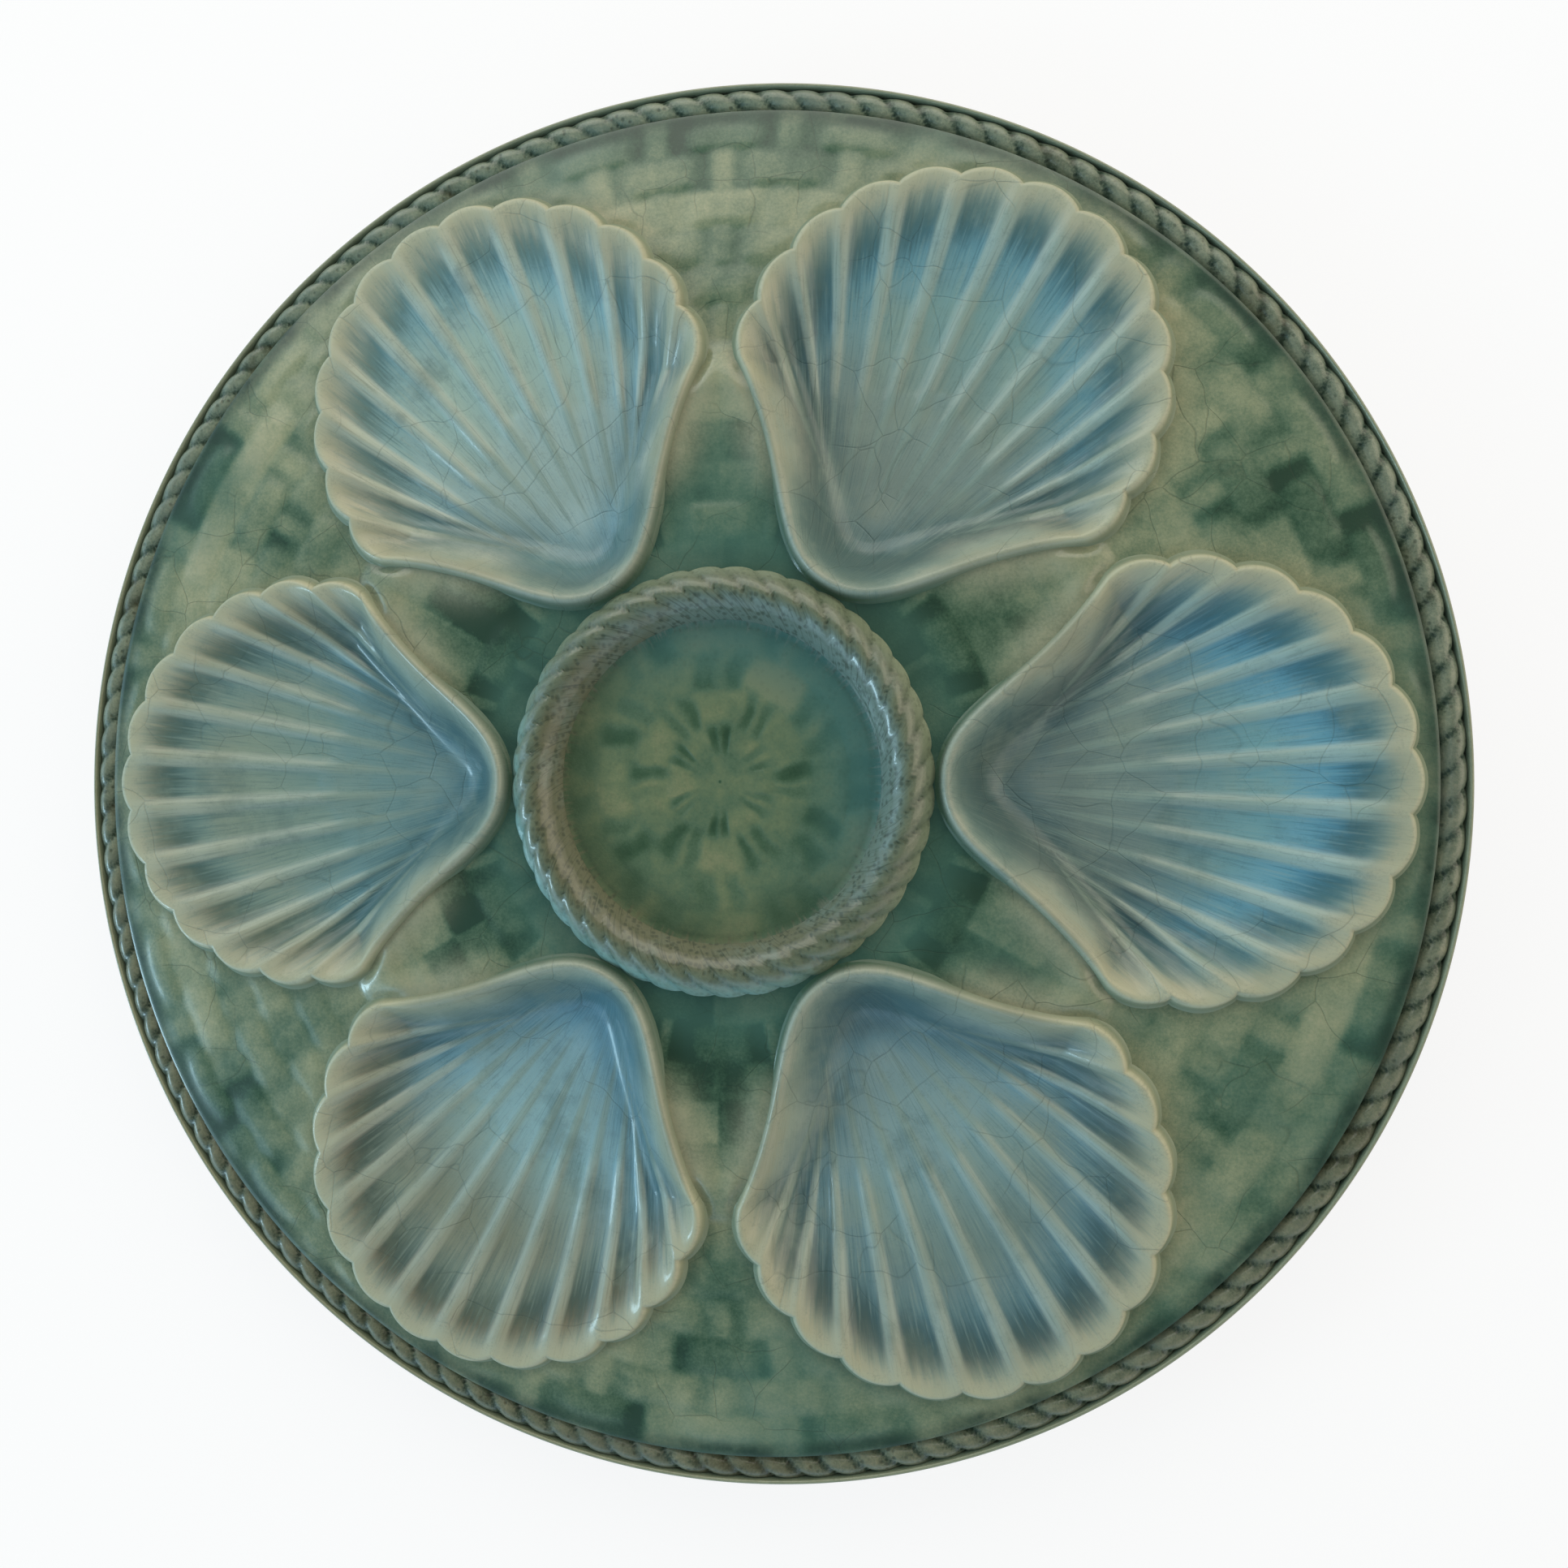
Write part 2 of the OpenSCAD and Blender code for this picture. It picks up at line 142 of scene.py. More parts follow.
# shell wells, seen along the axis of the well that points along +x
wellSizes = {
    "fanX": 78.6,
    "fanRadius": 35.3,
    "scallop": 1.5,
    "scallopPower": 0.75,
    "flutes": 13,
    "cornerAngle": 111.0,
    "hingeX": 39.4,
    "pulls": (0.44, 0.36),           # how wide the side's curve leaves the corner and meets the hinge
    "lipHeight": 2.5,
    "lipWidth": 1.1,
    "lipRound": 1.3,
    "fanWall": 13.2,
    "sideWall": 7.8,
    "wallChange": (62, 108),         # degrees round the fan
    "fanFrom": (48, 62),
    "fanUntil": (110, 124),
    "floorOut": (100.8, 18.5),
    "floorIn": (45.6, 13.5),
    "creaseRound": (2.8, 6.5),       # in the fan and at the hinge
    "creaseFrom": (50, 64),
    "ridgeShare": 0.12,
    "ridgeMost": 0.62,
    "ridgeWidth": 0.19,
    "flutePitch": 7.26,
    "fluteDip": 0.35,
    "paleFrom": (12, 36),
    "meet": ([0, 3.5, 4.5, 5.5, 6.5], [31, 32, 41, 46, 52]),
    "meetMiddle": 33.0,
    "fadeReach": (29.0, 47.0),
    "thickness": 4.0,
    "underX": 73.1,
    # how far out of the lip and how high over the ground its outer side runs down
    "flank": [(0.3, 2.42), (0.55, 2.2), (0.78, 1.78), (0.95, 1.2), (1.08, 0.75), (1.3, 0.42), (1.7, 0.16),
              (2.2, -0.1), (2.6, -0.6)],
    "underRings": [1.0, 0.97, 0.935, 0.89, 0.83, 0.75, 0.64, 0.45, 0.25],
    "underFlat": 0.62,
    "rimUnderFrom": (112, 14.35),
    "poleX": 72.6,
    "ringPower": 0.8,
    "samplesPerFlute": 22,
    "sideSamples": 64,
    "rings": 78,
}


def wellOutline():
    w = wellSizes
    n = w["flutes"] * w["samplesPerFlute"]
    flute = np.arange(n + 1) / w["samplesPerFlute"]
    a = np.radians(flute * 2 * w["cornerAngle"] / w["flutes"] - w["cornerAngle"])
    bump = np.abs(np.sin(np.pi * flute)) ** w["scallopPower"]
    direction = np.stack([np.cos(a), np.sin(a)], -1)
    notch = np.array([w["fanX"], 0]) + w["fanRadius"] * direction
    crest = notch + w["scallop"] * bump[:, None] * direction
    corner = notch[-1]
    pull = np.array([(w["hingeX"] + corner[0]) / 2, corner[1] * w["pulls"][0]])
    hingePull = np.array([w["hingeX"], corner[1] * w["pulls"][1]])
    hinge = np.array([w["hingeX"], 0.0])
    t = (np.arange(1, w["sideSamples"] + 1) / w["sideSamples"])[:, None]
    side = (1 - t) ** 3 * corner + 3 * (1 - t) ** 2 * t * pull + 3 * (1 - t) * t * t * hingePull + t ** 3 * hinge
    back = side[-2::-1] * np.array([1, -1])
    outline = np.concatenate([crest, side, back])
    smoothLine = np.concatenate([notch, side, back])
    width = np.full(len(outline), w["sideWall"])
    width[: n + 1] += (w["fanWall"] - w["sideWall"]) * (1 - smoothStep(*w["wallChange"], np.abs(np.degrees(a))))
    ahead = np.roll(outline, -1, 0) - np.roll(outline, 1, 0)
    normal = np.stack([ahead[:, 1], -ahead[:, 0]], -1)
    normal[: n + 1] = direction
    for _ in range(40):
        normal = (np.roll(normal, 1, 0) + normal * 2 + np.roll(normal, -1, 0)) / 4
        normal /= np.linalg.norm(normal, axis=1)[:, None]
    return outline, smoothLine, normal, width


def distanceInside(points, line):
    # signed distance to a closed line, positive inside, and the nearest sample
    following = np.roll(line, -1, 0)
    ahead = following - line
    lean = ahead[:, 0] / np.where(ahead[:, 1] == 0, 1e-9, ahead[:, 1])
    distances, nearest = [], []
    for start in range(0, len(points), 4000):
        p = points[start:start + 4000, None]
        rel = p - line
        t = np.clip((rel * ahead).sum(2) / (ahead ** 2).sum(1), 0, 1)
        squares = ((rel - t[:, :, None] * ahead) ** 2).sum(2)
        passes = (line[:, 1] > p[..., 1]) != (following[:, 1] > p[..., 1])
        crossed = (passes & (p[..., 0] < line[:, 0] + rel[..., 1] * lean)).sum(1)
        distances.append(np.where(crossed % 2 == 1, 1, -1) * np.sqrt(squares.min(1)))
        nearest.append(squares.argmin(1))
    return np.concatenate(distances), np.concatenate(nearest)


def fluteNumber(points, outline):
    # whole numbers on the ridges; each ridge is a straight line from its notch to the axis
    w = wellSizes
    lips = outline[: w["flutes"] * w["samplesPerFlute"] + 1: w["samplesPerFlute"]]
    meet = np.interp(np.abs(np.arange(w["flutes"] + 1) - w["flutes"] / 2), *w["meet"])
    meet = np.stack([meet, np.zeros_like(meet)], -1)
    way = lips - meet
    way /= np.linalg.norm(way, axis=1)[:, None]
    rel = points[:, None] - meet
    side = way[:, 0] * rel[..., 1] - way[:, 1] * rel[..., 0]
    side[:, 0] = np.maximum(side[:, 0], 1e-3)
    last = np.clip((side > 0).sum(1) - 1, 0, w["flutes"] - 1)
    rows = np.arange(len(points))
    before, after = side[rows, last], side[rows, last + 1]
    share = before / np.maximum(before - after, 1e-3)
    reach = np.hypot(points[:, 0] - w["meetMiddle"], points[:, 1])
    return last + np.clip(share, 0, 1), reach


def wellSurface(points, outline, smoothLine, width):
    # height and the maps that the glaze reads, at points in plan
    w = wellSizes
    x, y = points[:, 0], points[:, 1]
    d, nearest = distanceInside(points, smoothLine)
    wall = width[nearest]
    flute, reach = fluteNumber(points, outline)
    bump = np.abs(np.sin(np.pi * flute)) ** w["scallopPower"]
    aroundFan = np.abs(np.degrees(np.arctan2(y, x - w["fanX"])))
    onFan = smoothStep(*w["fanFrom"], x) * (1 - smoothStep(*w["fanUntil"], aroundFan))
    dEff = np.maximum(d + w["scallop"] * bump * (1 - np.clip(d / wall, 0, 1)) * onFan, 0)
    crest = groundHeight(np.hypot(x, y)) + w["lipHeight"]
    floor = onLine(x, w["floorOut"], w["floorIn"])
    slope = (crest - floor) / (wall - w["lipRound"])
    wallZ = crest - slope * (np.sqrt(dEff ** 2 + w["lipRound"] ** 2) - w["lipRound"])
    # the wall and the floor join in a fillet
    inFan, atHinge = w["creaseRound"]
    k = atHinge + (inFan - atHinge) * smoothStep(*w["creaseFrom"], x)
    gap = np.clip(0.5 + 0.5 * (wallZ - floor) / k, 0, 1)
    z = floor + (wallZ - floor) * gap + k * gap * (1 - gap)
    whole = np.clip(np.round(flute), 0, w["flutes"])
    off = np.abs(flute - whole)
    inner = (whole > 0.5) & (whole < w["flutes"] - 0.5)
    ridge = np.exp(-(off / w["ridgeWidth"]) ** 2) * inner
    most = np.minimum(w["ridgeShare"] * reach * math.radians(w["flutePitch"]), w["ridgeMost"])
    lift = most * smoothStep(*w["fadeReach"], reach) * (0.3 + 0.7 * smoothStep(0.5, 5.0, dEff))
    z += lift * (ridge - w["fluteDip"] * np.sin(np.pi * off) ** 2 * onFan)
    way = np.degrees(np.arctan2(y, x - w["meetMiddle"]))
    return z, {
        "wellMap": np.stack([dEff, ridge * smoothStep(*w["paleFrom"], reach), d], -1),
        "fluteMap": np.stack([way, reach, onFan], -1),
    }


def buildWell():
    w, p = wellSizes, plateSizes
    outline, smoothLine, normal, width = wellOutline()
    around = len(outline)
    middle = np.array([w["poleX"], 0])
    shares = np.linspace(0, 1, w["rings"] + 1)[1:] ** w["ringPower"]
    flat = (middle + (outline - middle)[None] * shares[:, None, None]).reshape(-1, 2)
    z, maps = wellSurface(flat, outline, smoothLine, width)
    poleZ, poleMaps = wellSurface(middle[None], outline, smoothLine, width)
    rings = [np.concatenate([flat, z[:, None]], 1)]
    ringMaps = {key: [values] for key, values in maps.items()}

    def addRing(plan, height, edge):
        # outside the lip the maps keep the lip's values, with a distance below zero
        rings.append(np.concatenate([plan, height[:, None]], 1))
        lip = maps["wellMap"][-around:, 2]
        ringMaps["wellMap"].append(np.stack([np.full(around, edge), np.zeros(around), lip], -1))
        ringMaps["fluteMap"].append(maps["fluteMap"][-around:])

    # the lip's outer side, with a fillet onto the ground, and down below it
    for out, rise in w["flank"]:
        plan = outline + out * normal
        addRing(plan, groundHeight(np.hypot(plan[:, 0], plan[:, 1])) + rise, -out)
    # the underside bulges below the ground's own underside, deeper towards the hinge
    r = np.hypot(outline[:, 0], outline[:, 1])
    rimFrom, rimHeight = w["rimUnderFrom"]
    rimUnder = np.interp(r, [rimFrom, p["rollRadius"]], [rimHeight, p["rimUnder"]])
    under = np.where(r < rimFrom, groundHeight(r) - p["groundThickness"], rimUnder)
    centre = np.array([w["underX"], 0])
    foot = outline + w["lipWidth"] * normal
    for share in w["underRings"]:
        t = np.clip((share - w["underFlat"]) / (1 - w["underFlat"]), 0, 1)
        plan = centre + (foot - centre) * share
        low = np.minimum(onLine(plan[:, 0], w["floorIn"], w["floorOut"]) - w["thickness"], under)
        addRing(plan, low + (under - low) * (1 - math.sqrt(1 - t * t)), -9.0)
    lowest = onLine(centre[0], w["floorIn"], w["floorOut"]) - w["thickness"]
    points = np.concatenate(rings + [[[*middle, poleZ[0]], [*centre, lowest]]])
    attributes = {
        key: np.concatenate(values + [poleMaps[key], np.full((1, 3), -9.0)]) for key, values in ringMaps.items()
    }
    return points, stackFaces((len(points) - 2) // around, around), attributes


# the woven ground, one wedge between two wells
weaveSizes = {
    "rowTop": 119.1,
    "row": 6.97,
    "outerCell": 6.0,
    "innerCell": 12.0,
    "outerRows": 6,
    "pillowRows": [7, 10],
    "saddle": (68.0, 76.9),
    "pillow": 0.2,
    "stake": 0.1,
    "strand": 0.015,
    "strandsInARow": 4,
    "saddleHeight": 0.9,
    "shoulder": 0.9,
    "pillowEnd": 117.4,
    "raised": 0.06,
    "grooveFloor": 14.9,
    "sheet": 1.2,
    "rimSheet": (3.2, 116.5, 118.5),          # how much thicker it gets, and between which radii
    "under": 0.95,                            # how far it goes on under a well's lip
    "radialStep": 0.4,
    "angleStep": 0.24,
    "from": 37.2,
    "to": 120.6,
    "softRelief": 3,
    "softLight": 2,
    "seed": 7,
    "chances": (14, 16),
    "lift": [0.0, 0.08, 0.13, -0.1, 0.16, 0.0],
}


def weaveAt(r, angle, clear, wedge):
    # relief above the ground's cone, and what the glaze reads from it
    w = weaveSizes
    rowAt = (w["rowTop"] - r) / w["row"]
    row = np.floor(rowAt)
    v = rowAt - row
    inner = row > w["outerRows"]
    cell = np.where(inner, w["innerCell"], w["outerCell"])
    middlePillow = np.where(inner, np.isin(row, w["pillowRows"]), row % 2 == 0)
    c = angle / cell
    shift = 1 - middlePillow
    near = 2 * np.round((c - shift) / 2) + shift
    e = np.abs(c - near)                      # 0 on a pillow, 1 on a window's stake
    over = 1 - smoothStep(0.38, 0.7, e)
    start = np.where(row == 0, (w["rowTop"] - w["pillowEnd"]) / w["row"] + 0.16 * np.clip(e / 0.5, 0, 1) ** 2, 0)
    t = np.clip((v - start) / (1 - start), 0, 1)
    joined = (row == 8) | (row == 9)          # one tall window and its neighbours over two rows
    t = np.where(joined, np.clip((rowAt - 8) / 2, 0, 1), t)
    crown = 1 - np.abs(2 * t - 1) ** 3
    crown = crown * smoothStep(0.0, 0.1, v - start + 0.02)
    half = np.where(inner, 0.09, 0.15)
    stake = (1 - smoothStep(half * 0.6, half * 1.7, 1 - e)) * np.where(joined, 0.25, 1)
    strands = w["strand"] * np.cos(2 * np.pi * v * w["strandsInARow"]) * over
    relief = w["pillow"] * over * crown + w["stake"] * stake * (1 - over) + strands
    # each pillow and window takes a little more or less glaze than the next
    rows, cells = w["chances"]
    chance = np.random.default_rng(w["seed"] + wedge).random((rows, cells))
    own = chance[np.clip(row, 0, rows - 1).astype(int), (near + cells // 2).astype(int) % cells]
    light = over * (0.46 + 0.26 * crown + 0.75 * (own - 0.5)) + w["lift"][wedge] * smoothStep(60, 80, r)
    light += (1 - over) * (0.22 + 0.5 * stake + 1.1 * (own - 0.4) * (1 - stake))
    middle = np.exp(-(angle / 4.5) ** 2)      # the glaze pools down the wedge's middle
    light -= 0.25 * middle * (1 - smoothStep(104, 114, r)) * smoothStep(76, 82, r)
    light -= 0.22 * smoothStep(110, 114, r) + 0.42 * (1 - smoothStep(50, 64, r))
    s0, s1 = w["saddle"]
    saddle = smoothStep(s0 - 3, s0 + 2, r) * (1 - smoothStep(s1 - 1, s1 + 0.8, r))
    arch = np.sin(np.pi * np.clip((r - s0 + 2) / (s1 - s0 + 4), 0, 1))
    relief = relief * (1 - saddle) + w["saddleHeight"] * saddle * arch
    light = light * (1 - saddle) + 0.85 * saddle
    shoulder = smoothStep(48, 60, r) * (1 - smoothStep(68, 76, r)) * np.exp(-(np.maximum(clear, 0) / 4.6) ** 2)
    # close to a well the glaze runs thin everywhere
    thin = np.exp(-(np.maximum(clear, 0) / 5.5) ** 2) * smoothStep(60, 76, r)
    light = light * (1 - 0.75 * thin) + 0.95 * 0.75 * thin
    fadeIn = smoothStep(0.2, 2.2, clear)
    relief = relief * (0.15 + 0.85 * fadeIn) + w["shoulder"] * shoulder
    return relief, light, shoulder, e


def groundAt(r, angle, clear, wedge):
    w = weaveSizes
    relief, light, shoulder, e = weaveAt(r, angle, clear, wedge)
    # beyond the last row the ground drops into the rope's groove
    past = smoothStep(w["pillowEnd"] - 1.4, w["pillowEnd"] + 0.6, r)
    drop = smoothStep(w["rowTop"], w["rowTop"] + 1.3, r)
    dip = 1 - smoothStep(39.5, 43.0, r)
    relief = soften(relief * (1 - past) * (1 - dip), w["softRelief"])
    z = groundHeight(r) + w["raised"] + relief
    z = z + (w["grooveFloor"] - z) * drop
    pillowSide = 0.45 + 0.55 * (1 - smoothStep(0.45, 0.9, e)) * smoothStep(1.0, 4.0, clear)
    # darker glaze and painted shade in the groove by the rim rope and round the centre rope
    grooveGlazeAndShade = soften(np.maximum(past * pillowSide, dip * 0.3), 3)
    return z, soften(light, w["softLight"]), shoulder, grooveGlazeAndShade


def buildGroundWedges(outline):
    w = weaveSizes
    rs = np.arange(w["from"], w["to"] + w["radialStep"] / 2, w["radialStep"])
    angles = np.linspace(-30, 30, int(60 / w["angleStep"]) + 1)
    rr, aa = np.meshgrid(rs, angles, indexing="ij")
    fromAxis = np.radians(30 - np.abs(aa))
    local = np.stack([rr * np.cos(fromAxis), rr * np.sin(fromAxis)], -1).reshape(-1, 2)
    inside, _ = distanceInside(local, outline)
    clear = (-inside - wellSizes["lipWidth"]).reshape(rr.shape)
    more, *radii = w["rimSheet"]
    low = groundHeight(rr) - w["sheet"] - more * smoothStep(*radii, rr)
    mid = (clear[:-1, :-1] + clear[1:, 1:] + clear[1:, :-1] + clear[:-1, 1:]) / 4
    keep = mid > -w["under"]
    n, m = rr.shape
    index = np.arange(n * m).reshape(n, m)
    a, b, c, d = index[:-1, :-1], index[1:, :-1], index[1:, 1:], index[:-1, 1:]
    tops = np.stack([a, b, c, d], -1)[keep]
    half = n * m
    faces = [tops, tops[:, ::-1] + half]
    wide = np.pad(keep, 1)
    for first, second, shift in ((a, b, (0, -1)), (b, c, (1, 0)), (c, d, (0, 1)), (d, a, (-1, 0))):
        other = wide[1 + shift[0]:n + shift[0], 1 + shift[1]:m + shift[1]]
        edge = keep & ~other
        f, s = first[edge], second[edge]
        faces.append(np.stack([f, f + half, s + half, s], -1))
    used, faces = np.unique(np.concatenate(faces), return_inverse=True)
    faces = faces.reshape(-1, 4).tolist()
    for wedge in range(plateSizes["wells"]):
        z, light, cream, grooveGlazeAndShade = groundAt(rr, aa, clear, wedge)
        points = np.concatenate([polar(rr, aa, z), polar(rr, aa, low)])
        maps = np.stack([light, cream, grooveGlazeAndShade], -1).reshape(-1, 3)
        yield points[used], faces, {
            "weaveMap": np.concatenate([maps, maps])[used],
            "radiusMap": np.tile(rr.ravel(), 2)[used],
        }


# the centre well: a woven floor that turns up into the rope
bowlSizes = {
    "floor": 21.5,
    "dish": 0.4,
    "floorRadius": 27.2,
    "edge": (31.4, 23.8),
    "row": 6.6,
    "cells": 12,
    "relief": 0.14,
    "under": 17.1,
    "outside": [(31.6, 21.0), (29.5, 17.7), (28.0, 17.1), (12.0, 17.1)],
    "around": 540,
    "softLight": 7,
    "seed": 3,
    "rows": 8,
}


def buildBowl():
    b = bowlSizes
    edgeRadius, edgeHeight = b["edge"]
    rs = np.concatenate([np.linspace(0.4, b["floorRadius"], 74), np.linspace(b["floorRadius"] + 0.3, edgeRadius, 12)])
    angles = np.arange(b["around"]) * 360 / b["around"]
    rr, aa = np.meshgrid(rs, angles, indexing="ij")
    t = np.clip((rr - b["floorRadius"]) / (edgeRadius - b["floorRadius"]), 0, 1)
    z = b["floor"] + b["dish"] * rr / b["floorRadius"] + (edgeHeight - b["floor"] - b["dish"]) * t ** 1.6
    rowAt = (29.5 - rr) / b["row"]
    row = np.floor(rowAt)
    v = rowAt - row
    c = aa * b["cells"] / 360
    # stakes of the first row lie at 0, 60, ... degrees, so its pillows are the odd cells
    c = c + 0.06 * np.sin(rr * 0.7 + 2.2 * np.sin(np.radians(aa * 3))) + 0.05 * np.sin(np.radians(aa * 5 + 40))
    parity = (row + 1) % 2
    near = 2 * np.round((c - parity) / 2) + parity
    e = np.abs(c - near)
    over = 1 - smoothStep(0.5, 0.68, e)
    crown = 1 - np.abs(2 * v - 1) ** 4
    stake = 1 - smoothStep(0.06, 0.17, 1 - e)
    chance = np.random.default_rng(b["seed"]).random((b["rows"], b["cells"]))
    inRow = np.clip(row, 0, b["rows"] - 1).astype(int)
    own = chance[inRow, near.astype(int) % b["cells"]]
    other = chance[(inRow + 3) % b["rows"], np.floor(c).astype(int) % b["cells"]]
    heart = 1 - smoothStep(4.0, 8.0, rr)
    onRope = smoothStep(-0.5, 0.6, rr - b["floorRadius"])
    light = over * (0.45 + 0.25 * crown + 0.55 * own) + (1 - over) * (0.02 + 0.5 * stake + 0.6 * other)
    cross = np.exp(-(rr * np.abs(np.sin(np.radians(aa * 2))) / 3.2) ** 2)
    light = light * (1 - heart) + heart * (0.9 + 0.25 * cross)
    light = soften(light, b["softLight"], True)
    relief = b["relief"] * (over * crown + 0.5 * stake * (1 - over)) * (1 - heart) * (1 - onRope)
    outside = [polar(r, angles, h) for r, h in b["outside"]]
    points = np.concatenate([polar(rr, aa, z + relief)] + outside + [[[0, 0, b["floor"]], [0, 0, b["under"]]]])
    maps = np.zeros((len(points), 3))
    maps[: rr.size] = np.stack([aa, rr, light], -1).reshape(-1, 3)
    return points, stackFaces(len(rs) + len(outside), b["around"]), {"bowlMap": maps}


def revolve(name, profile, around):
    # a closed profile turned round the axis
    angles = np.arange(around) * 360 / around
    points = np.concatenate([polar(r, angles, z) for r, z in profile])
    base = (len(profile) - 1) * around
    closing = [(base + a, a, (a + 1) % around, base + (a + 1) % around) for a in range(around)]
    return meshPiece(name, points, stackFaces(len(profile), around, False) + closing, {}, 50)


class Nodes:
    # short ways to build a node tree
    def __init__(self, tree):
        self.tree = tree

    def feed(self, socket, value):
        if isinstance(value, bpy.types.NodeSocket):
            self.tree.links.new(value, socket)
        else:
            socket.default_value = value

    def add(self, kind, settings=None, **values):
        # a node with its settings, and its inputs by name with _ for a space
        node = self.tree.nodes.new(kind)
        for key, value in (settings or {}).items():
            setattr(node, key, value)
        for key, value in values.items():
            self.feed(node.inputs[key.replace("_", " ")], value)
        return node

    def fed(self, kind, settings, *values):
        # a node whose inputs are given in their order
        node = self.add(kind, settings)
        for socket, value in zip(node.inputs, values):
            self.feed(socket, value)
        return node.outputs[0]

    def calc(self, operation, *values):
        return self.fed("ShaderNodeMath", {"operation": operation}, *values)

    def plus(self, first, second):
        return self.calc("ADD", first, second)

    def minus(self, first, second):
        return self.calc("SUBTRACT", first, second)

    def times(self, product, *factors):
        for factor in factors:
            product = self.calc("MULTIPLY", product, factor)
        return product

    def sway(self, value, *noises):
        # the value wanders with noises round a half, each with its own amount
        for noise, amount in noises:
            value = self.plus(value, self.times(self.minus(noise, 0.5), amount))
        return value

    def split(self, vector):
        return self.add("ShaderNodeSeparateXYZ", None, Vector=vector).outputs

    def join(self, x, y, z=0.0):
        return self.fed("ShaderNodeCombineXYZ", None, x, y, z)

    def noise(self, vector, scale, detail, roughness=0.5):
        node = self.add("ShaderNodeTexNoise", None, Vector=vector, Scale=scale, Detail=detail, Roughness=roughness)
        return node.outputs

    def step(self, value, low, high, atLow=0.0, atHigh=1.0, kind="SMOOTHSTEP"):
        node = self.add("ShaderNodeMapRange", {"interpolation_type": kind}, Value=value, From_Min=low, From_Max=high,
                        To_Min=atLow, To_Max=atHigh)
        return node.outputs[0]

    def line(self, value, low, high, atLow=0.0, atHigh=1.0):
        return self.step(value, low, high, atLow, atHigh, "LINEAR")

    def blend(self, factor, first, second, mode="MIX"):
        node = self.add("ShaderNodeMix", {"data_type": "RGBA", "blend_type": mode})
        for k, value in ((0, factor), (6, first), (7, second)):    # where a colour mix has its inputs
            self.feed(node.inputs[k], value)
        return node.outputs[2]

    def over(self, color, top, *shares):
        # one colour over another, as much as the product of its shares
        return self.blend(self.times(*shares), color, top)

    def dye(self, color, tintAndLight):
        return self.blend(1.0, color, tintAndLight, "MULTIPLY")

    def ramp(self, value, stops):
        # colours along a length or a tone: pairs of a place and its colour
        first, last = stops[0][0], stops[-1][0]
        node = self.add("ShaderNodeValToRGB", None, Fac=self.line(value, first, last))
        elements = node.color_ramp.elements
        for at, _ in stops[1:-1]:
            elements.new((at - first) / (last - first))
        for element, (_, color) in zip(elements, stops):
            element.color = color
        return node.outputs[0]


class Group(Nodes):
    # a node group: an input is given by its first value, or by its kind where it has none
    kinds = {int: "NodeSocketInt", float: "NodeSocketFloat"}

    def __init__(self, name, kind, resultKind, **inputs):
        tree = bpy.data.node_groups.new(name, kind)
        for label, start in inputs.items():
            socketKind = self.kinds.get(type(start), start)
            socket = tree.interface.new_socket(label.replace("_", " "), in_out="INPUT", socket_type=socketKind)
            if socketKind != start:
                socket.default_value = start
        tree.interface.new_socket("Result", in_out="OUTPUT", socket_type=resultKind)
        super().__init__(tree)
        self.given = tree.nodes.new("NodeGroupInput").outputs
        self.result = tree.nodes.new("NodeGroupOutput")

    def give(self, value):
        self.feed(self.result.inputs[0], value)
        return self.tree


# a laid rope that runs round in a ring, as a node tree with its sizes as inputs
layShape = {
    "lean": 0.8,
    "roundness": 0.6,
    "innerFade": (-0.75, 0.1),
    "lowerFade": (-0.2, 0.25),
    "belly": 0.25,
    "weld": 1e-6,
}


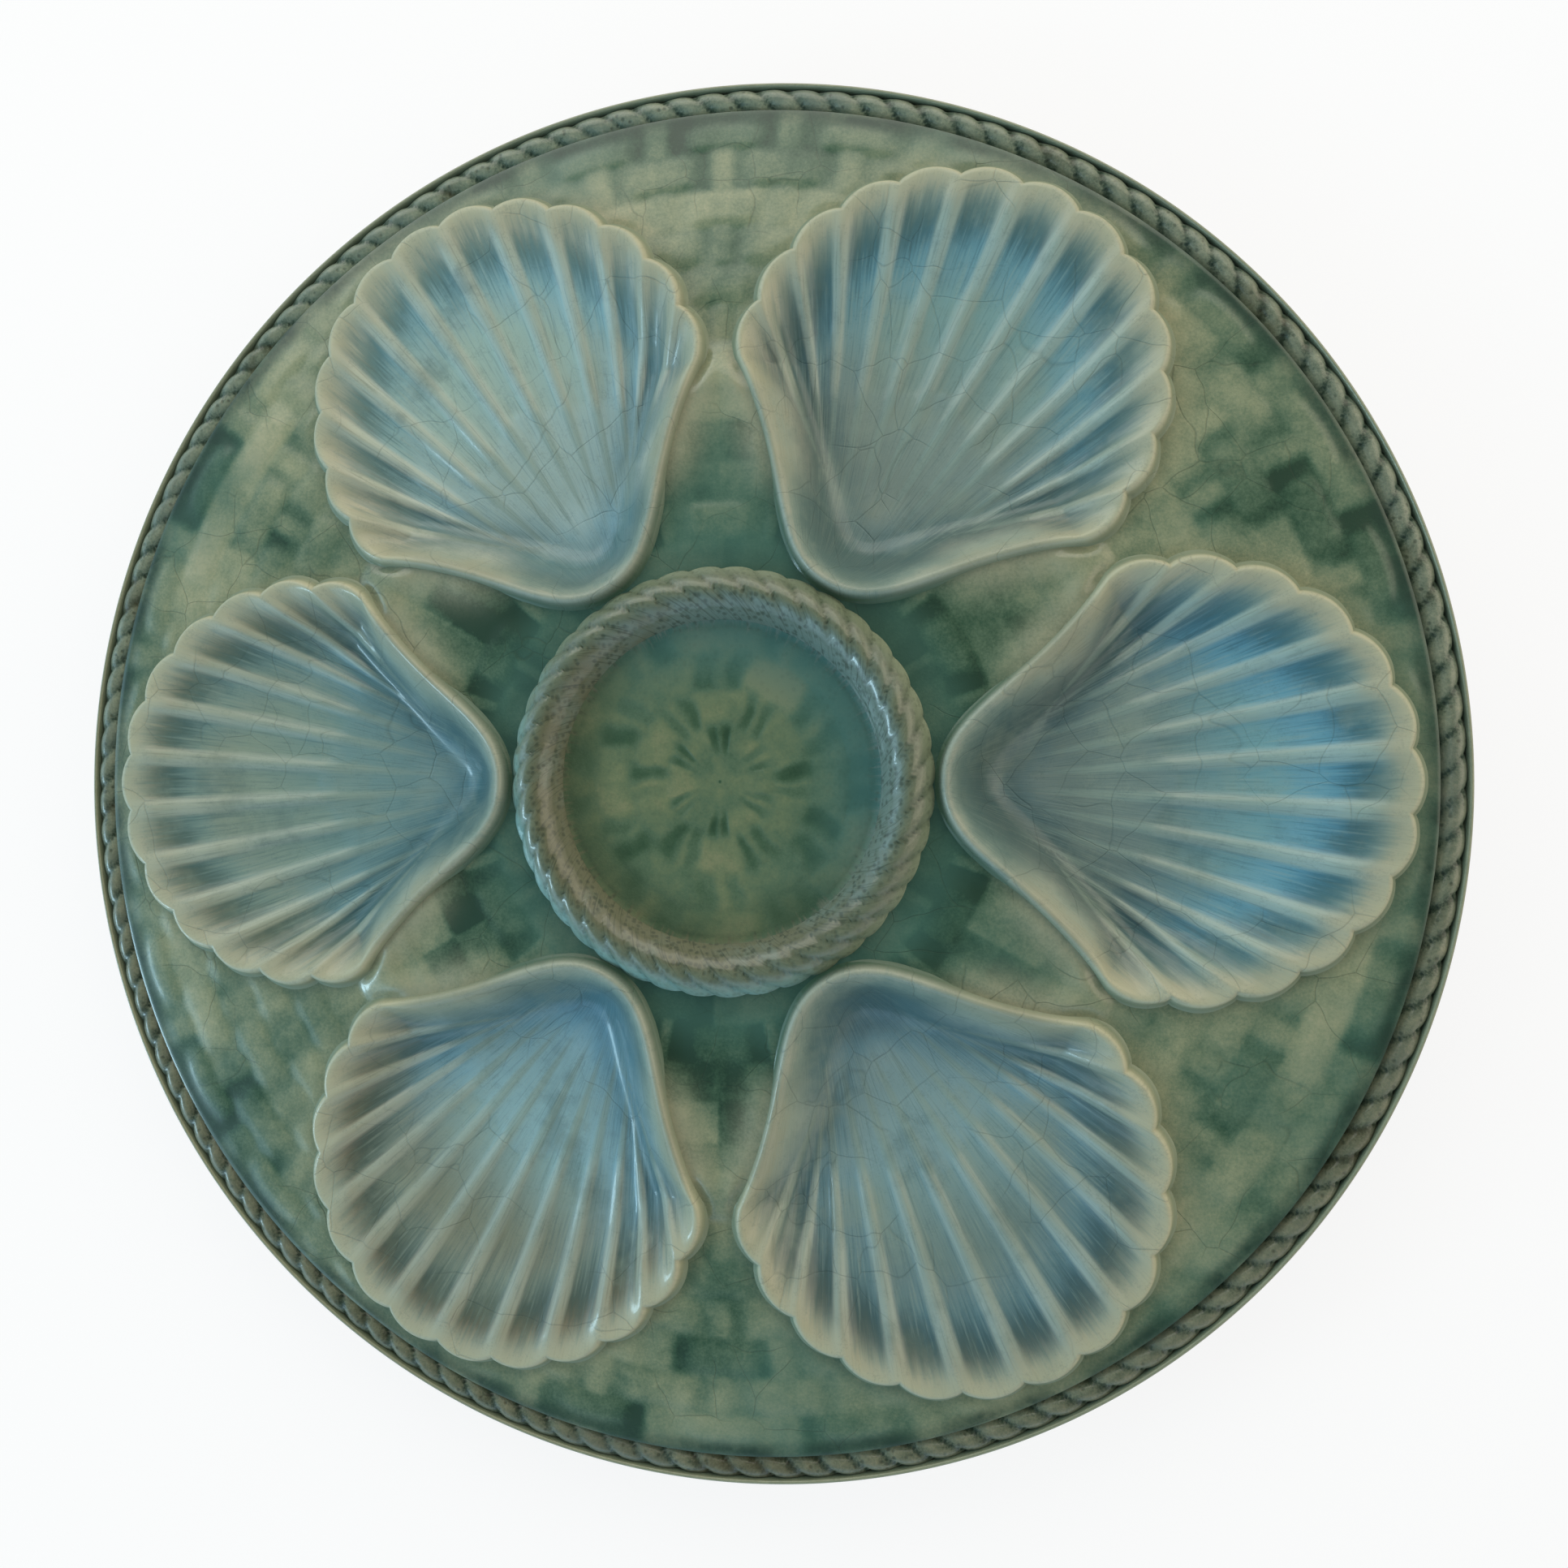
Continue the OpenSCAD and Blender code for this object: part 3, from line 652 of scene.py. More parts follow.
def ropeTree():
    s = layShape
    n = Group("laidRope", "GeometryNodeTree", "NodeSocketGeometry", Lays=40, Steps_in_a_lay=20,
              Section_steps=36, Middle_radius=0.033, Half_width=0.003, Seat=0.02, Height=0.004, Swell=0.001,
              Slant=1.0, Fullness=1.2, Smooth_inside=0.0, Glaze="NodeSocketMaterial")
    g = n.given
    steps = n.times(g["Lays"], g["Steps in a lay"])
    grid = n.add("GeometryNodeMeshGrid", None, Size_X=1.0, Size_Y=1.0, Vertices_X=n.plus(steps, 1),
                 Vertices_Y=n.plus(g["Section steps"], 1))
    x, y, _ = n.split(n.add("GeometryNodeInputPosition").outputs[0])
    turn, roll = n.times(x, 2 * math.pi), n.times(y, 2 * math.pi)
    cosRoll, sinRoll = n.calc("COSINE", roll), n.calc("SINE", roll)
    upper, lower = n.calc("MAXIMUM", sinRoll, 0), n.calc("MINIMUM", sinRoll, 0)
    # where in its lay a point is: the lays climb outwards as they go round
    phase = n.minus(n.times(n.plus(x, 0.5), g["Lays"]), n.times(cosRoll, g["Slant"], 0.5))
    part = n.calc("POWER", n.calc("FRACT", n.plus(phase, 100)), s["lean"])
    bead = n.calc("POWER", n.calc("ABSOLUTE", n.calc("SINE", n.times(part, math.pi))), s["roundness"])
    # lays fade towards the inside where the rope is smooth there
    inside = n.plus(n.times(n.step(cosRoll, *s["innerFade"]), g["Smooth inside"]), n.minus(1, g["Smooth inside"]))
    sink = n.times(g["Swell"], inside, n.step(sinRoll, *s["lowerFade"]), n.minus(1, bead))
    lift = n.times(g["Height"], n.plus(n.calc("POWER", upper, g["Fullness"]), n.times(lower, s["belly"])))
    z = n.minus(n.plus(g["Seat"], lift), n.times(sink, upper))
    radius = n.plus(g["Middle radius"], n.times(cosRoll, n.minus(g["Half width"], sink)))
    spot = n.join(n.times(radius, n.calc("COSINE", turn)), n.times(radius, n.calc("SINE", turn)), z)
    named = n.add("GeometryNodeStoreNamedAttribute", {"data_type": "FLOAT_VECTOR", "domain": "POINT"},
                  Geometry=grid.outputs[0], Name="ropeMap", Value=n.join(bead, cosRoll, phase))
    shape = named.outputs[0]
    for kind, values in (
        ("GeometryNodeSetPosition", {"Position": spot}),
        ("GeometryNodeMergeByDistance", {"Distance": s["weld"]}),
        ("GeometryNodeSetShadeSmooth", {}),
        ("GeometryNodeRealizeInstances", {}),
        ("GeometryNodeSetMaterial", {"Material": g["Glaze"]}),
    ):
        shape = n.add(kind, None, Geometry=shape, **values).outputs[0]
    return n.give(shape)


def grown(name, tree, sizes, material):
    # run a tree on an empty mesh and keep the result as a plain mesh
    seed = linked(name + "_seed", bpy.data.meshes.new(name + "_seed"))
    modifier = seed.modifiers.new("shape", "NODES")
    modifier.node_group = tree
    values = dict(sizes, Glaze=material)
    for item in tree.interface.items_tree:
        if item.in_out == "INPUT":
            modifier[item.identifier] = values[item.name]
    shape = bpy.data.meshes.new_from_object(seed.evaluated_get(bpy.context.evaluated_depsgraph_get()))
    bpy.data.objects.remove(seed)
    shape.name = name
    return linked(name, shape)


# glaze effects that several materials share
def effectGroup(name, resultKind="NodeSocketFloat", **inputs):
    return Group(name, "ShaderNodeTree", resultKind, Vector="NodeSocketVector", **inputs)


def crazingGroup():
    n = effectGroup("crazing", Cells_per_metre=105.0, Line_width=0.012, Missing=0.45)
    g = n.given
    bend = (0.006, 0.006, 0.006)
    bent = n.fed("ShaderNodeVectorMath", {"operation": "MULTIPLY_ADD"}, n.noise(g["Vector"], 70.0, 2.0)["Color"],
                 bend, g["Vector"])
    cells = n.add("ShaderNodeTexVoronoi", {"feature": "DISTANCE_TO_EDGE"}, Vector=bent, Scale=g["Cells per metre"])
    drawn = n.line(cells.outputs["Distance"], 0.0, g["Line width"], 1.0, 0.0)
    there = n.line(n.noise(g["Vector"], 45.0, 1.0)[0], g["Missing"], n.plus(g["Missing"], 0.08))
    return n.give(n.times(drawn, there))


def mottleGroup():
    n = effectGroup("glazeMottle", Broad_scale=60.0, Fine_scale=900.0, Fine_share=0.4)
    g = n.given
    broad = n.times(n.noise(g["Vector"], g["Broad scale"], 3.0)[0], n.minus(1, g["Fine share"]))
    fine = n.times(n.noise(g["Vector"], g["Fine scale"], 4.0, 0.65)[0], g["Fine share"])
    return n.give(n.line(n.plus(broad, fine), 0.32, 0.68))


def specklesGroup():
    n = effectGroup("speckles", Per_metre=700.0, Size=0.25, Amount=0.3)
    g = n.given
    cells = n.add("ShaderNodeTexVoronoi", None, Vector=g["Vector"], Scale=g["Per metre"]).outputs
    dot = n.line(cells["Distance"], n.times(g["Size"], 0.4), g["Size"], 1.0, 0.0)
    pick = n.add("ShaderNodeSeparateColor", None, Color=cells["Color"]).outputs[0]
    return n.give(n.times(dot, n.calc("LESS_THAN", pick, g["Amount"])))


def streaksGroup():
    n = effectGroup("glazeStreaks", Across=8.0, Along=1.0)
    g = n.given
    stretched = n.fed("ShaderNodeVectorMath", {"operation": "MULTIPLY"}, g["Vector"], n.join(g["Across"], g["Along"]))
    return n.give(n.line(n.noise(stretched, 1.0, 3.0, 0.6)[0], 0.33, 0.67))


# thin, cloudy green over cream clay, the same under every member
undersideColours = {
    "clay": srgb(146, 148, 124),
    # each cloud's colour and share, its scale and detail, and where it begins and is full
    "clouds": [(srgb(108, 128, 102), 1.0, (38.0, 3.0), (0.38, 0.62)),
               (srgb(82, 106, 84), 1.0, (130.0, 4.0), (0.5, 0.75)),
               (srgb(88, 104, 82), 0.3, (1500.0, 4.0), (0.4, 0.65))],
    "dot": srgb(70, 72, 52),
    "dotsPerMetre": 420.0,
    "dotShare": 0.5,
}


def undersideGroup():
    n = effectGroup("undersideColour", "NodeSocketColor")
    spot, u = n.given["Vector"], undersideColours
    color = u["clay"]
    for cloud, share, grain, ends in u["clouds"]:
        color = n.over(color, cloud, n.line(n.noise(spot, *grain, 0.6)[0], *ends), share)
    cells = n.add("ShaderNodeTexVoronoi", None, Vector=spot, Scale=u["dotsPerMetre"])
    return n.give(n.over(color, u["dot"], n.line(cells.outputs["Distance"], 0.06, 0.14, u["dotShare"], 0.0)))


shared = {
    "underside": undersideGroup(),
    "crazing": crazingGroup(),
    "mottle": mottleGroup(),
    "speckles": specklesGroup(),
    "streaks": streaksGroup(),
}


class Glaze(Nodes):
    # a material being made, with what every glaze needs
    def __init__(self, name, colours):
        self.colours = colours
        self.material = bpy.data.materials.new(name)
        self.material.use_nodes = True
        super().__init__(self.material.node_tree)
        self.tree.nodes.clear()
        self.shader = self.add("ShaderNodeBsdfPrincipled")
        self.add("ShaderNodeOutputMaterial", None, Surface=self.shader.outputs[0])
        self.coords = self.add("ShaderNodeTexCoord").outputs["Object"]

    def carried(self, name, part="Vector"):
        # a map that the mesh carries
        return self.add("ShaderNodeAttribute", {"attribute_name": name}).outputs[part]

    def feed(self, socket, value):
        # a text is the name of one of the glaze's colours
        super().feed(socket, self.colours[value] if isinstance(value, str) else value)

    def ramp(self, value, name):
        return super().ramp(value, self.colours[name])

    def effect(self, kind, name=None, vector=None):
        # a shared effect, with sizes from the glaze's dictionary in the order of the group's inputs
        sizes = self.colours.get(name, ())
        at = self.coords if vector is None else vector
        return self.fed("ShaderNodeGroup", {"node_tree": shared[kind]}, at, *sizes)

    def mottles(self, *names):
        return [self.effect("mottle", name) for name in names]

    def lay(self, top, *shares):
        self.color = self.over(self.color, top, *shares)

    def finish(self, height, bumpDepth=0.0002, roughness=0.6, coat=0.9, coatRoughness=0.17):
        bump = self.add("ShaderNodeBump", None, Strength=1.0, Distance=bumpDepth, Height=height)
        for key, value in (("Base Color", self.color), ("Roughness", roughness), ("Coat Weight", coat),
                           ("Coat Roughness", coatRoughness), ("IOR", 1.45), ("Specular IOR Level", 0.12),
                           ("Normal", bump.outputs[0])):
            self.feed(self.shader.inputs[key], value)
        return self.material


# each well's tint near the fan's wall and one on its floor: partly how its glaze came out, and partly painted light,
# a painted bluish reflection of the window and a painted brighter haze on some wells
wellTintsAndLight = [
    ((0.78, 1.08, 1.33), (0.77, 0.73, 0.74)),
    ((0.92, 1.05, 1.14), (1.03, 0.90, 0.87)),
    ((1.60, 1.48, 1.48), (1.60, 1.43, 1.48)),
    ((1.07, 0.94, 0.84), (0.78, 0.89, 0.96)),
    ((0.97, 0.73, 0.61), (1.20, 1.32, 1.55)),
    ((0.75, 0.73, 0.76), (1.08, 1.09, 1.20)),
]

# glaze colours by their distance in millimetres from a lip's crest
wellColours = {
    "flute": tones((0, 162, 163, 139), (1.8, 152, 154, 134), (3, 133, 141, 126), (4.2, 113, 125, 115),
                   (5.4, 91, 109, 103), (6.75, 77, 101, 99), (8.25, 73, 102, 104), (9.75, 83, 114, 118),
                   (11.2, 94, 127, 131), (12.75, 104, 136, 138), (15, 111, 139, 139), (20, 115, 140, 134)),
    "ridge": tones((0, 160, 162, 140), (2.4, 152, 156, 138), (4.2, 142, 150, 136), (6.75, 138, 152, 141),
                   (10, 140, 157, 150), (15, 138, 155, 147), (20, 132, 150, 142)),
    "side": tones((0, 138, 142, 123), (1.6, 142, 148, 131), (3.2, 136, 148, 136), (5, 108, 126, 120),
                  (6.75, 78, 103, 102), (8.25, 78, 105, 106), (10.5, 98, 128, 130), (14, 114, 140, 138),
                  (20, 117, 142, 138)),
    "hinge": tones((0, 142, 150, 136), (1.4, 114, 132, 124), (3, 82, 106, 104), (5, 72, 101, 102),
                   (7, 68, 101, 103), (9, 88, 122, 128), (12, 112, 147, 152), (16, 136, 163, 161),
                   (20, 134, 160, 157), (27, 121, 147, 143)),
    "shadow": srgb(60, 84, 86),
    "bloom": srgb(138, 152, 138),
    "warm": srgb(126, 136, 116),
    "crack": srgb(46, 64, 62),
    "foot": srgb(112, 124, 102),
    "innerFoot": srgb(62, 88, 70),
    "broad": (75.0, 700.0, 0.15),      # mottles: broad scale, fine scale, share of the fine one
    "fine": (420.0, 2400.0, 0.6),
    "drift": (48.0, 260.0, 0.3),
    "streak": (0.8, 0.08),             # cells across and along the flutes
    "hair": (2.6, 0.1),
    "cracks": (95.0, 0.014, 0.44),     # cells in a metre, width of a line, share left out
}


def wellGlaze():
    g = Glaze("shell_glaze", wellColours)
    edge, ridge, inward = g.split(g.carried("wellMap"))
    flow = g.carried("fluteMap")
    _, reach, onFan = g.split(flow)
    broad, fine, drift = g.mottles("broad", "fine", "drift")
    streak, hair = (g.effect("streaks", name, flow) for name in ("streak", "hair"))
    # the pools' ends are feathered along the flutes
    feather = g.sway(0.0, (streak, 1.5), (hair, 1.9))
    spot = g.plus(edge, g.times(feather, g.step(edge, 0.4, 4.5, 0.25, 1.0)))
    onRidge = g.step(ridge, 0.2, 0.68)
    fan = g.blend(onRidge, g.ramp(spot, "flute"), g.ramp(spot, "ridge"))
    wander = g.sway(inward, (broad, 3.0), (hair, 1.2))
    side = g.blend(g.step(reach, 19.0, 30.0), g.ramp(wander, "hinge"), g.ramp(wander, "side"))
    g.color = g.blend(onFan, g.over(side, "bloom", ridge, 0.3), fan)
    # the tints carry painted light as well as each well's glaze colour
    tintAndLight = g.blend(g.step(reach, 62.0, 38.0), g.carried("wallTintAndLight"), g.carried("floorTintAndLight"))
    tintAndLight = g.blend(g.step(edge, 2.0, 6.0), white, g.over(tintAndLight, white, onRidge, 0.6))
    g.color = g.dye(g.color, tintAndLight)
    # milky blooms and darker stains drift over the floor, and hairs run down it
    for tone, *shares in (
        ("bloom", g.step(drift, 0.55, 1.0), 0.3),
        ("shadow", g.step(drift, 0.4, 0.0), g.step(inward, 2.0, 7.0), 0.38),
        ("warm", g.step(broad, 0.55, 1.0), 0.2),
        ("bloom", g.step(hair, 0.55, 1.0), g.step(inward, 1.0, 4.0, 0.05, 0.2)),
        ("shadow", g.step(hair, 0.45, 0.0), g.step(inward, 1.0, 4.0, 0.1, 0.25)),
        ("shadow", g.step(fine, 0.5, 0.0), 0.2),
    ):
        g.lay(tone, *shares)
    lines = g.effect("crazing", "cracks")
    g.lay("crack", lines, 0.2)
    foot = g.blend(g.step(reach, 16.0, 40.0), "innerFoot", "foot")
    g.lay(foot, g.step(edge, -0.45, -1.5))
    g.lay(g.effect("underside"), g.step(edge, -8.0, -8.5))
    return g.finish(g.minus(g.times(streak, 0.2), g.times(lines, 0.3)), coat=0.5, coatRoughness=0.15)


groundColours = {
    "tones": tones((-0.3, 32, 58, 44), (0.0, 50, 78, 60), (0.35, 78, 100, 80), (0.7, 108, 121, 97),
                   (1.05, 134, 140, 112), (1.4, 156, 155, 126)),
    "cream": srgb(144, 145, 122),
    # darker glaze and painted shade in the grooves
    "grooveGlazeAndShade": srgb(30, 54, 44),
    "teal": srgb(64, 102, 92),
    "crack": srgb(42, 60, 46),
    "broad": (60.0, 300.0, 0.25),
    "fine": (500.0, 2000.0, 0.6),
    "cloud": (28.0, 120.0, 0.2),
    "patch": (170.0, 700.0, 0.3),
    "cracks": (80.0, 0.01, 0.46),
}


def groundGlaze():
    g = Glaze("ground_glaze", groundColours)
    light, cream, grooveGlazeAndShade = g.split(g.carried("weaveMap"))
    broad, fine, cloud, patch = g.mottles("broad", "fine", "cloud", "patch")
    # thin glaze on the pillows is light, and broad clouds shift it
    g.color = g.ramp(g.sway(light, (broad, 0.75), (fine, 0.4)), "tones")
    g.lay("teal", g.step(cloud, 0.45, 1.0), 0.45)
    g.lay("teal", g.step(g.carried("radiusMap", "Fac"), 49.0, 40.0), 0.55)
    g.lay("cream", cream, g.step(fine, 0.0, 1.0, 0.6, 0.9))
    # darker glaze and painted shade in the grooves by the ropes
    g.lay("grooveGlazeAndShade", grooveGlazeAndShade, g.step(patch, 0.2, 0.8, 0.62, 1.0))
    lines = g.effect("crazing", "cracks")
    g.lay("crack", lines, 0.35)
    return g.finish(g.minus(g.times(fine, 0.2), g.times(lines, 0.3)))


ropeColours = {
    "tones": tones((-0.1, 34, 54, 44), (0.3, 78, 98, 84), (0.65, 130, 145, 126), (1.0, 156, 166, 144),
                   (1.3, 180, 184, 160)),
    # painted light: white on the side that faces in, which lies in shade, and greyer on the crest, so the inner side
    # reads lighter
    "shade": tones((-1.0, 255, 255, 255), (-0.6, 250, 250, 250), (-0.1, 202, 202, 202), (1.0, 200, 200, 200)),
    "blue": srgb(88, 112, 110),
    "tan": srgb(122, 116, 88),
    "fleck": srgb(46, 58, 46),
    # painted shade for the plate's lower half
    "low": (0.84, 0.76, 0.7, 1.0),
    "broad": (70.0, 500.0, 0.2),
    "fine": (600.0, 2400.0, 0.5),
    "specks": (900.0, 0.4, 0.25),      # in a metre, their size, share of the cells with one
}


def ropeGlaze():
    g = Glaze("rim_rope_glaze", ropeColours)
    bead, side, _ = g.split(g.carried("ropeMap"))
    broad, fine = g.mottles("broad", "fine")
    tone = g.plus(g.times(bead, 0.8), g.times(g.minus(fine, 0.4), 0.6))
    g.color = g.ramp(g.sway(tone, (broad, 0.4)), "tones")
    g.lay("blue", g.step(broad, 0.5, 1.0), 0.4)
    g.lay("tan", g.step(broad, 0.4, 0.0), 0.4)
    specks = g.effect("speckles", "specks")
    # the shade ramp paints light onto the rope's shaded inner side
    g.color = g.dye(g.over(g.color, "fleck", specks, 0.5), g.ramp(side, "shade"))
    # painted shade: the plate's lower half is darker, as the light falls off towards it
    g.lay(g.dye(g.color, "low"), g.step(g.split(g.coords)["Y"], 0.06, -0.08))
    return g.finish(g.minus(g.times(fine, 0.3), g.times(specks, 0.3)), coat=0.6)


centreRopeColours = {
    "lays": tones((0.0, 46, 60, 48), (0.3, 78, 90, 73), (0.7, 92, 102, 85), (1.0, 96, 106, 87), (1.3, 114, 119, 98)),
    "tan": srgb(90, 94, 74),
    "blue": srgb(96, 113, 104),
    # a painted reflection of the window on the rope's outer flank
    "paintedReflection": srgb(128, 168, 166),
    "flank": srgb(122, 134, 110),
    "fleck": srgb(44, 56, 44),
    "broad": (120.0, 600.0, 0.25),
    "fine": (600.0, 2400.0, 0.5),
    "specks": (1100.0, 0.6, 0.5),
    "hairs": (9.0, 1.2),
}


def centreRopeGlaze():
    g = Glaze("centre_rope_glaze", centreRopeColours)
    bead, side, phase = g.split(g.carried("ropeMap"))
    x, y, _ = g.split(g.coords)
    broad, fine = g.mottles("broad", "fine")
    lays = g.ramp(g.sway(bead, (fine, 0.4)), "lays")
    # the inner side runs from tan at the lower left to blue-grey at the upper right
    toRight = g.sway(g.plus(x, y), (broad, 0.05))
    inner = g.blend(g.step(toRight, -0.02, 0.03), "tan", "blue")
    g.color = g.blend(g.step(side, 0.1, -0.35), lays, inner)
    g.lay("blue", g.step(broad, 0.55, 1.0), 0.4)
    # the side that faces out is lighter, and at the lower left it takes a painted bluish reflection of the window
    g.lay("flank", g.step(side, 0.45, 0.95), 0.8)
    g.lay("paintedReflection", g.step(toRight, -0.005, -0.035), g.step(side, 0.15, 0.85), g.step(broad, 0.2, 0.8, 0.5, 0.9))
    hairs = g.effect("streaks", "hairs", g.join(phase, side))
    g.lay("fleck", g.step(hairs, 0.5, 0.0), g.step(side, 0.3, -0.3, 0.15, 0.6))
    specks = g.effect("speckles", "specks")
    g.lay("fleck", specks, g.step(side, 0.3, -0.3, 0.25, 0.6))
    return g.finish(g.minus(g.times(fine, 0.3), g.times(specks, 0.3)))


bowlColours = {
    "tones": tones((-0.2, 40, 66, 46), (0.2, 56, 82, 60), (0.6, 78, 100, 78), (1.0, 98, 112, 84),
                   (1.3, 116, 122, 92)),
    "teal": srgb(62, 104, 102),
    "ropeTan": srgb(88, 92, 72),
    "ropeBlue": srgb(92, 112, 106),
    "fleck": srgb(44, 60, 48),
    "pool": srgb(54, 74, 52),
    "broad": (70.0, 300.0, 0.2),
    "fine": (500.0, 2200.0, 0.6),
    "specks": (1100.0, 0.6, 0.5),
    "rays": (0.7, 0.12),
}


def bowlGlaze():
    g = Glaze("bowl_glaze", bowlColours)
    spot = g.carried("bowlMap")
    _, radius, light = g.split(spot)
    x, y, z = g.split(g.coords)
    broad, fine = g.mottles("broad", "fine")
    rays = g.effect("streaks", "rays", spot)
    g.color = g.ramp(g.sway(light, (broad, 1.0), (fine, 0.35)), "tones")
    toRight = g.plus(x, y)
    blue = g.step(toRight, -0.02, 0.03)
    g.lay("teal", g.step(radius, 12.0, 27.0), blue, 0.75)
    g.lay("pool", g.step(radius, 19.0, 25.0), g.step(toRight, 0.015, -0.02), g.step(broad, 0.0, 1.0, 0.75, 0.35))
    # the glaze ends in a feathered edge where the floor turns up into the rope
    reach = g.sway(radius, (rays, 3.4), (fine, 1.4))
    g.color = g.blend(g.step(reach, 27.2, 30.4), g.color, g.blend(blue, "ropeTan", "ropeBlue"))
    specks = g.effect("speckles", "specks")
    g.lay("fleck", specks, g.step(reach, 27.0, 30.0, 0.1, 0.6))
    g.lay("fleck", g.step(rays, 0.5, 0.0), g.step(reach, 27.0, 30.0), 0.5)
    g.lay(g.effect("underside"), g.step(z, 0.0205, 0.0198))
    return g.finish(g.times(fine, 0.3))


rimColours = {
    "body": srgb(98, 112, 94),
    "thin": srgb(140, 144, 120),
    "dark": srgb(66, 84, 68),
    "fine": (300.0, 2000.0, 0.5),
}


def rimGlaze():
    g = Glaze("rim_glaze", rimColours)
    [fine] = g.mottles("fine")
    g.color = g.blend(g.step(g.split(g.coords)["Z"], 0.0165, 0.0177), "body", "thin")
    g.lay("dark", fine, 0.3)
    return g.finish(fine, bumpDepth=0.0001, roughness=0.3)


underColours = {
    "crack": srgb(84, 80, 60),
    "fine": (500.0, 2200.0, 0.6),
    "cracks": (80.0, 0.01, 0.42),
}


def underGlaze():
    g = Glaze("underside_glaze", underColours)
    [fine] = g.mottles("fine")
    lines = g.effect("crazing", "cracks")
    g.color = g.over(g.effect("underside"), "crack", lines, 0.4)
    return g.finish(g.minus(g.times(fine, 0.2), lines), roughness=0.32)


footColours = {
    "clay": srgb(196, 182, 150),
    "darkClay": srgb(166, 152, 122),
    "glaze": srgb(142, 146, 122),
    "darkGlaze": srgb(112, 128, 104),
    "fine": (400.0, 2600.0, 0.6),
}


def footClay():
    g = Glaze("foot_clay", footColours)
    [fine] = g.mottles("fine")
    bare = g.step(g.split(g.coords)["Z"], 0.0009, 0.0014)
    g.color = g.blend(bare, g.blend(fine, "clay", "darkClay"), g.blend(fine, "glaze", "darkGlaze"))
    return g.finish(fine, bumpDepth=0.00025, roughness=0.45, coat=0.5, coatRoughness=0.2)


materials = {
    "well": wellGlaze(),
    "ground": groundGlaze(),
    "rimRope": ropeGlaze(),
    "centreRope": centreRopeGlaze(),
    "bowl": bowlGlaze(),
    "rim": rimGlaze(),
    "under": underGlaze(),
    "foot": footClay(),
}
print("glazes made:", len(materials))


def paint(piece, key):
    piece.data.materials.clear()
    piece.data.materials.append(materials[key])


def settle(piece, key, slot, *nodes):
    paint(piece, key)
    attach(piece, "root")
    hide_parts(*nodes)


wellPoints, wellFaces, wellMaps = buildWell()
# each well's tints hold painted reflection and haze as well as its glaze colour
for k, tintsAndLight in enumerate(wellTintsAndLight):
    for name, tintAndLight in zip(("wallTintAndLight", "floorTintAndLight"), tintsAndLight):
        wellMaps[name] = np.tile(tintAndLight, (len(wellPoints), 1))
    well = meshPiece(f"shell_well_{k + 1}_glazed", turned(wellPoints, 60 * k), wellFaces, wellMaps, 70)
    settle(well, "well", "shell_glaze", f"shell_well_{k + 1}")
print("wells:", plateSizes["wells"], "of", len(wellFaces), "faces")

for k, (wedgePoints, wedgeFaces, wedgeMaps) in enumerate(buildGroundWedges(wellOutline()[0])):
    wedge = meshPiece(f"woven_ground_{k + 1}", turned(wedgePoints, 60 * k + 30), wedgeFaces, wedgeMaps)
    settle(wedge, "ground", "ground_glaze", "weave_relief")
print("ground wedges:", plateSizes["wells"], "of", len(wedgeFaces), "faces")

settle(meshPiece("centre_bowl_woven", *buildBowl()), "bowl", "ground_glaze", "centre_bowl", "bowl_weave")
print("centre bowl made")

rope = ropeTree()
rimRopeSizes = {
    "Lays": 135,
    "Steps in a lay": 10,
    "Section steps": 30,
    "Middle radius": 122.15 * mm,
    "Half width": 2.45 * mm,
    "Seat": 14.9 * mm,
    "Height": 2.9 * mm,
    "Swell": 0.62 * mm,
    "Slant": 0.8,
    "Fullness": 0.9,
    "Smooth inside": 0.0,
}
settle(grown("rim_rope_laid", rope, rimRopeSizes, materials["rimRope"]), "rimRope", "rope_glaze", "rim_rope")
centreRopeSizes = {
    "Lays": 40,
    "Steps in a lay": 24,
    "Section steps": 44,
    "Middle radius": 33.2 * mm,
    "Half width": 4.8 * mm,
    "Seat": 22.2 * mm,
    "Height": 4.7 * mm,
    "Swell": 0.5 * mm,
    "Slant": 2.0,
    "Fullness": 1.8,
    "Smooth inside": 0.85,
}
settle(grown("centre_rope_laid", rope, centreRopeSizes, materials["centreRope"]), "centreRope", "rope_glaze",
       "centre_rope")
print("ropes laid")

rimSizes = {
    "shoulder": [(125.0, 17.0)],
    "bead": (124.65, 17.1, 0.35),
    "inner": [(124.1, 16.2), (123.9, 14.6)],
    "around": 960,
}


def arc(middle, height, radius, first, last, step):
    a = np.radians(np.arange(first, last + 1, step))
    return list(zip(middle + radius * np.cos(a), height + radius * np.sin(a)))


def rimProfile():
    # up the rolled edge, over the lip's thin bead and back into the channel
    p, s = plateSizes, rimSizes
    roll = (p["rollRadius"], p["channelHeight"], p["rimRadius"] - p["rollRadius"])
    return [(p["rollRadius"], p["rimUnder"])] + arc(*roll, -80, 0, 10) + s["shoulder"] + arc(
        *s["bead"], 15, 180, 15) + s["inner"] + [(p["rollRadius"], p["channelHeight"])]


settle(revolve("rim_lip_rolled", rimProfile(), rimSizes["around"]), "rim", "rope_glaze", "rim_lip")
print("rim made")

for name, key in (("plate_body", "under"), ("foot_ring", "foot")):
    paint(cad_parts[name], key)

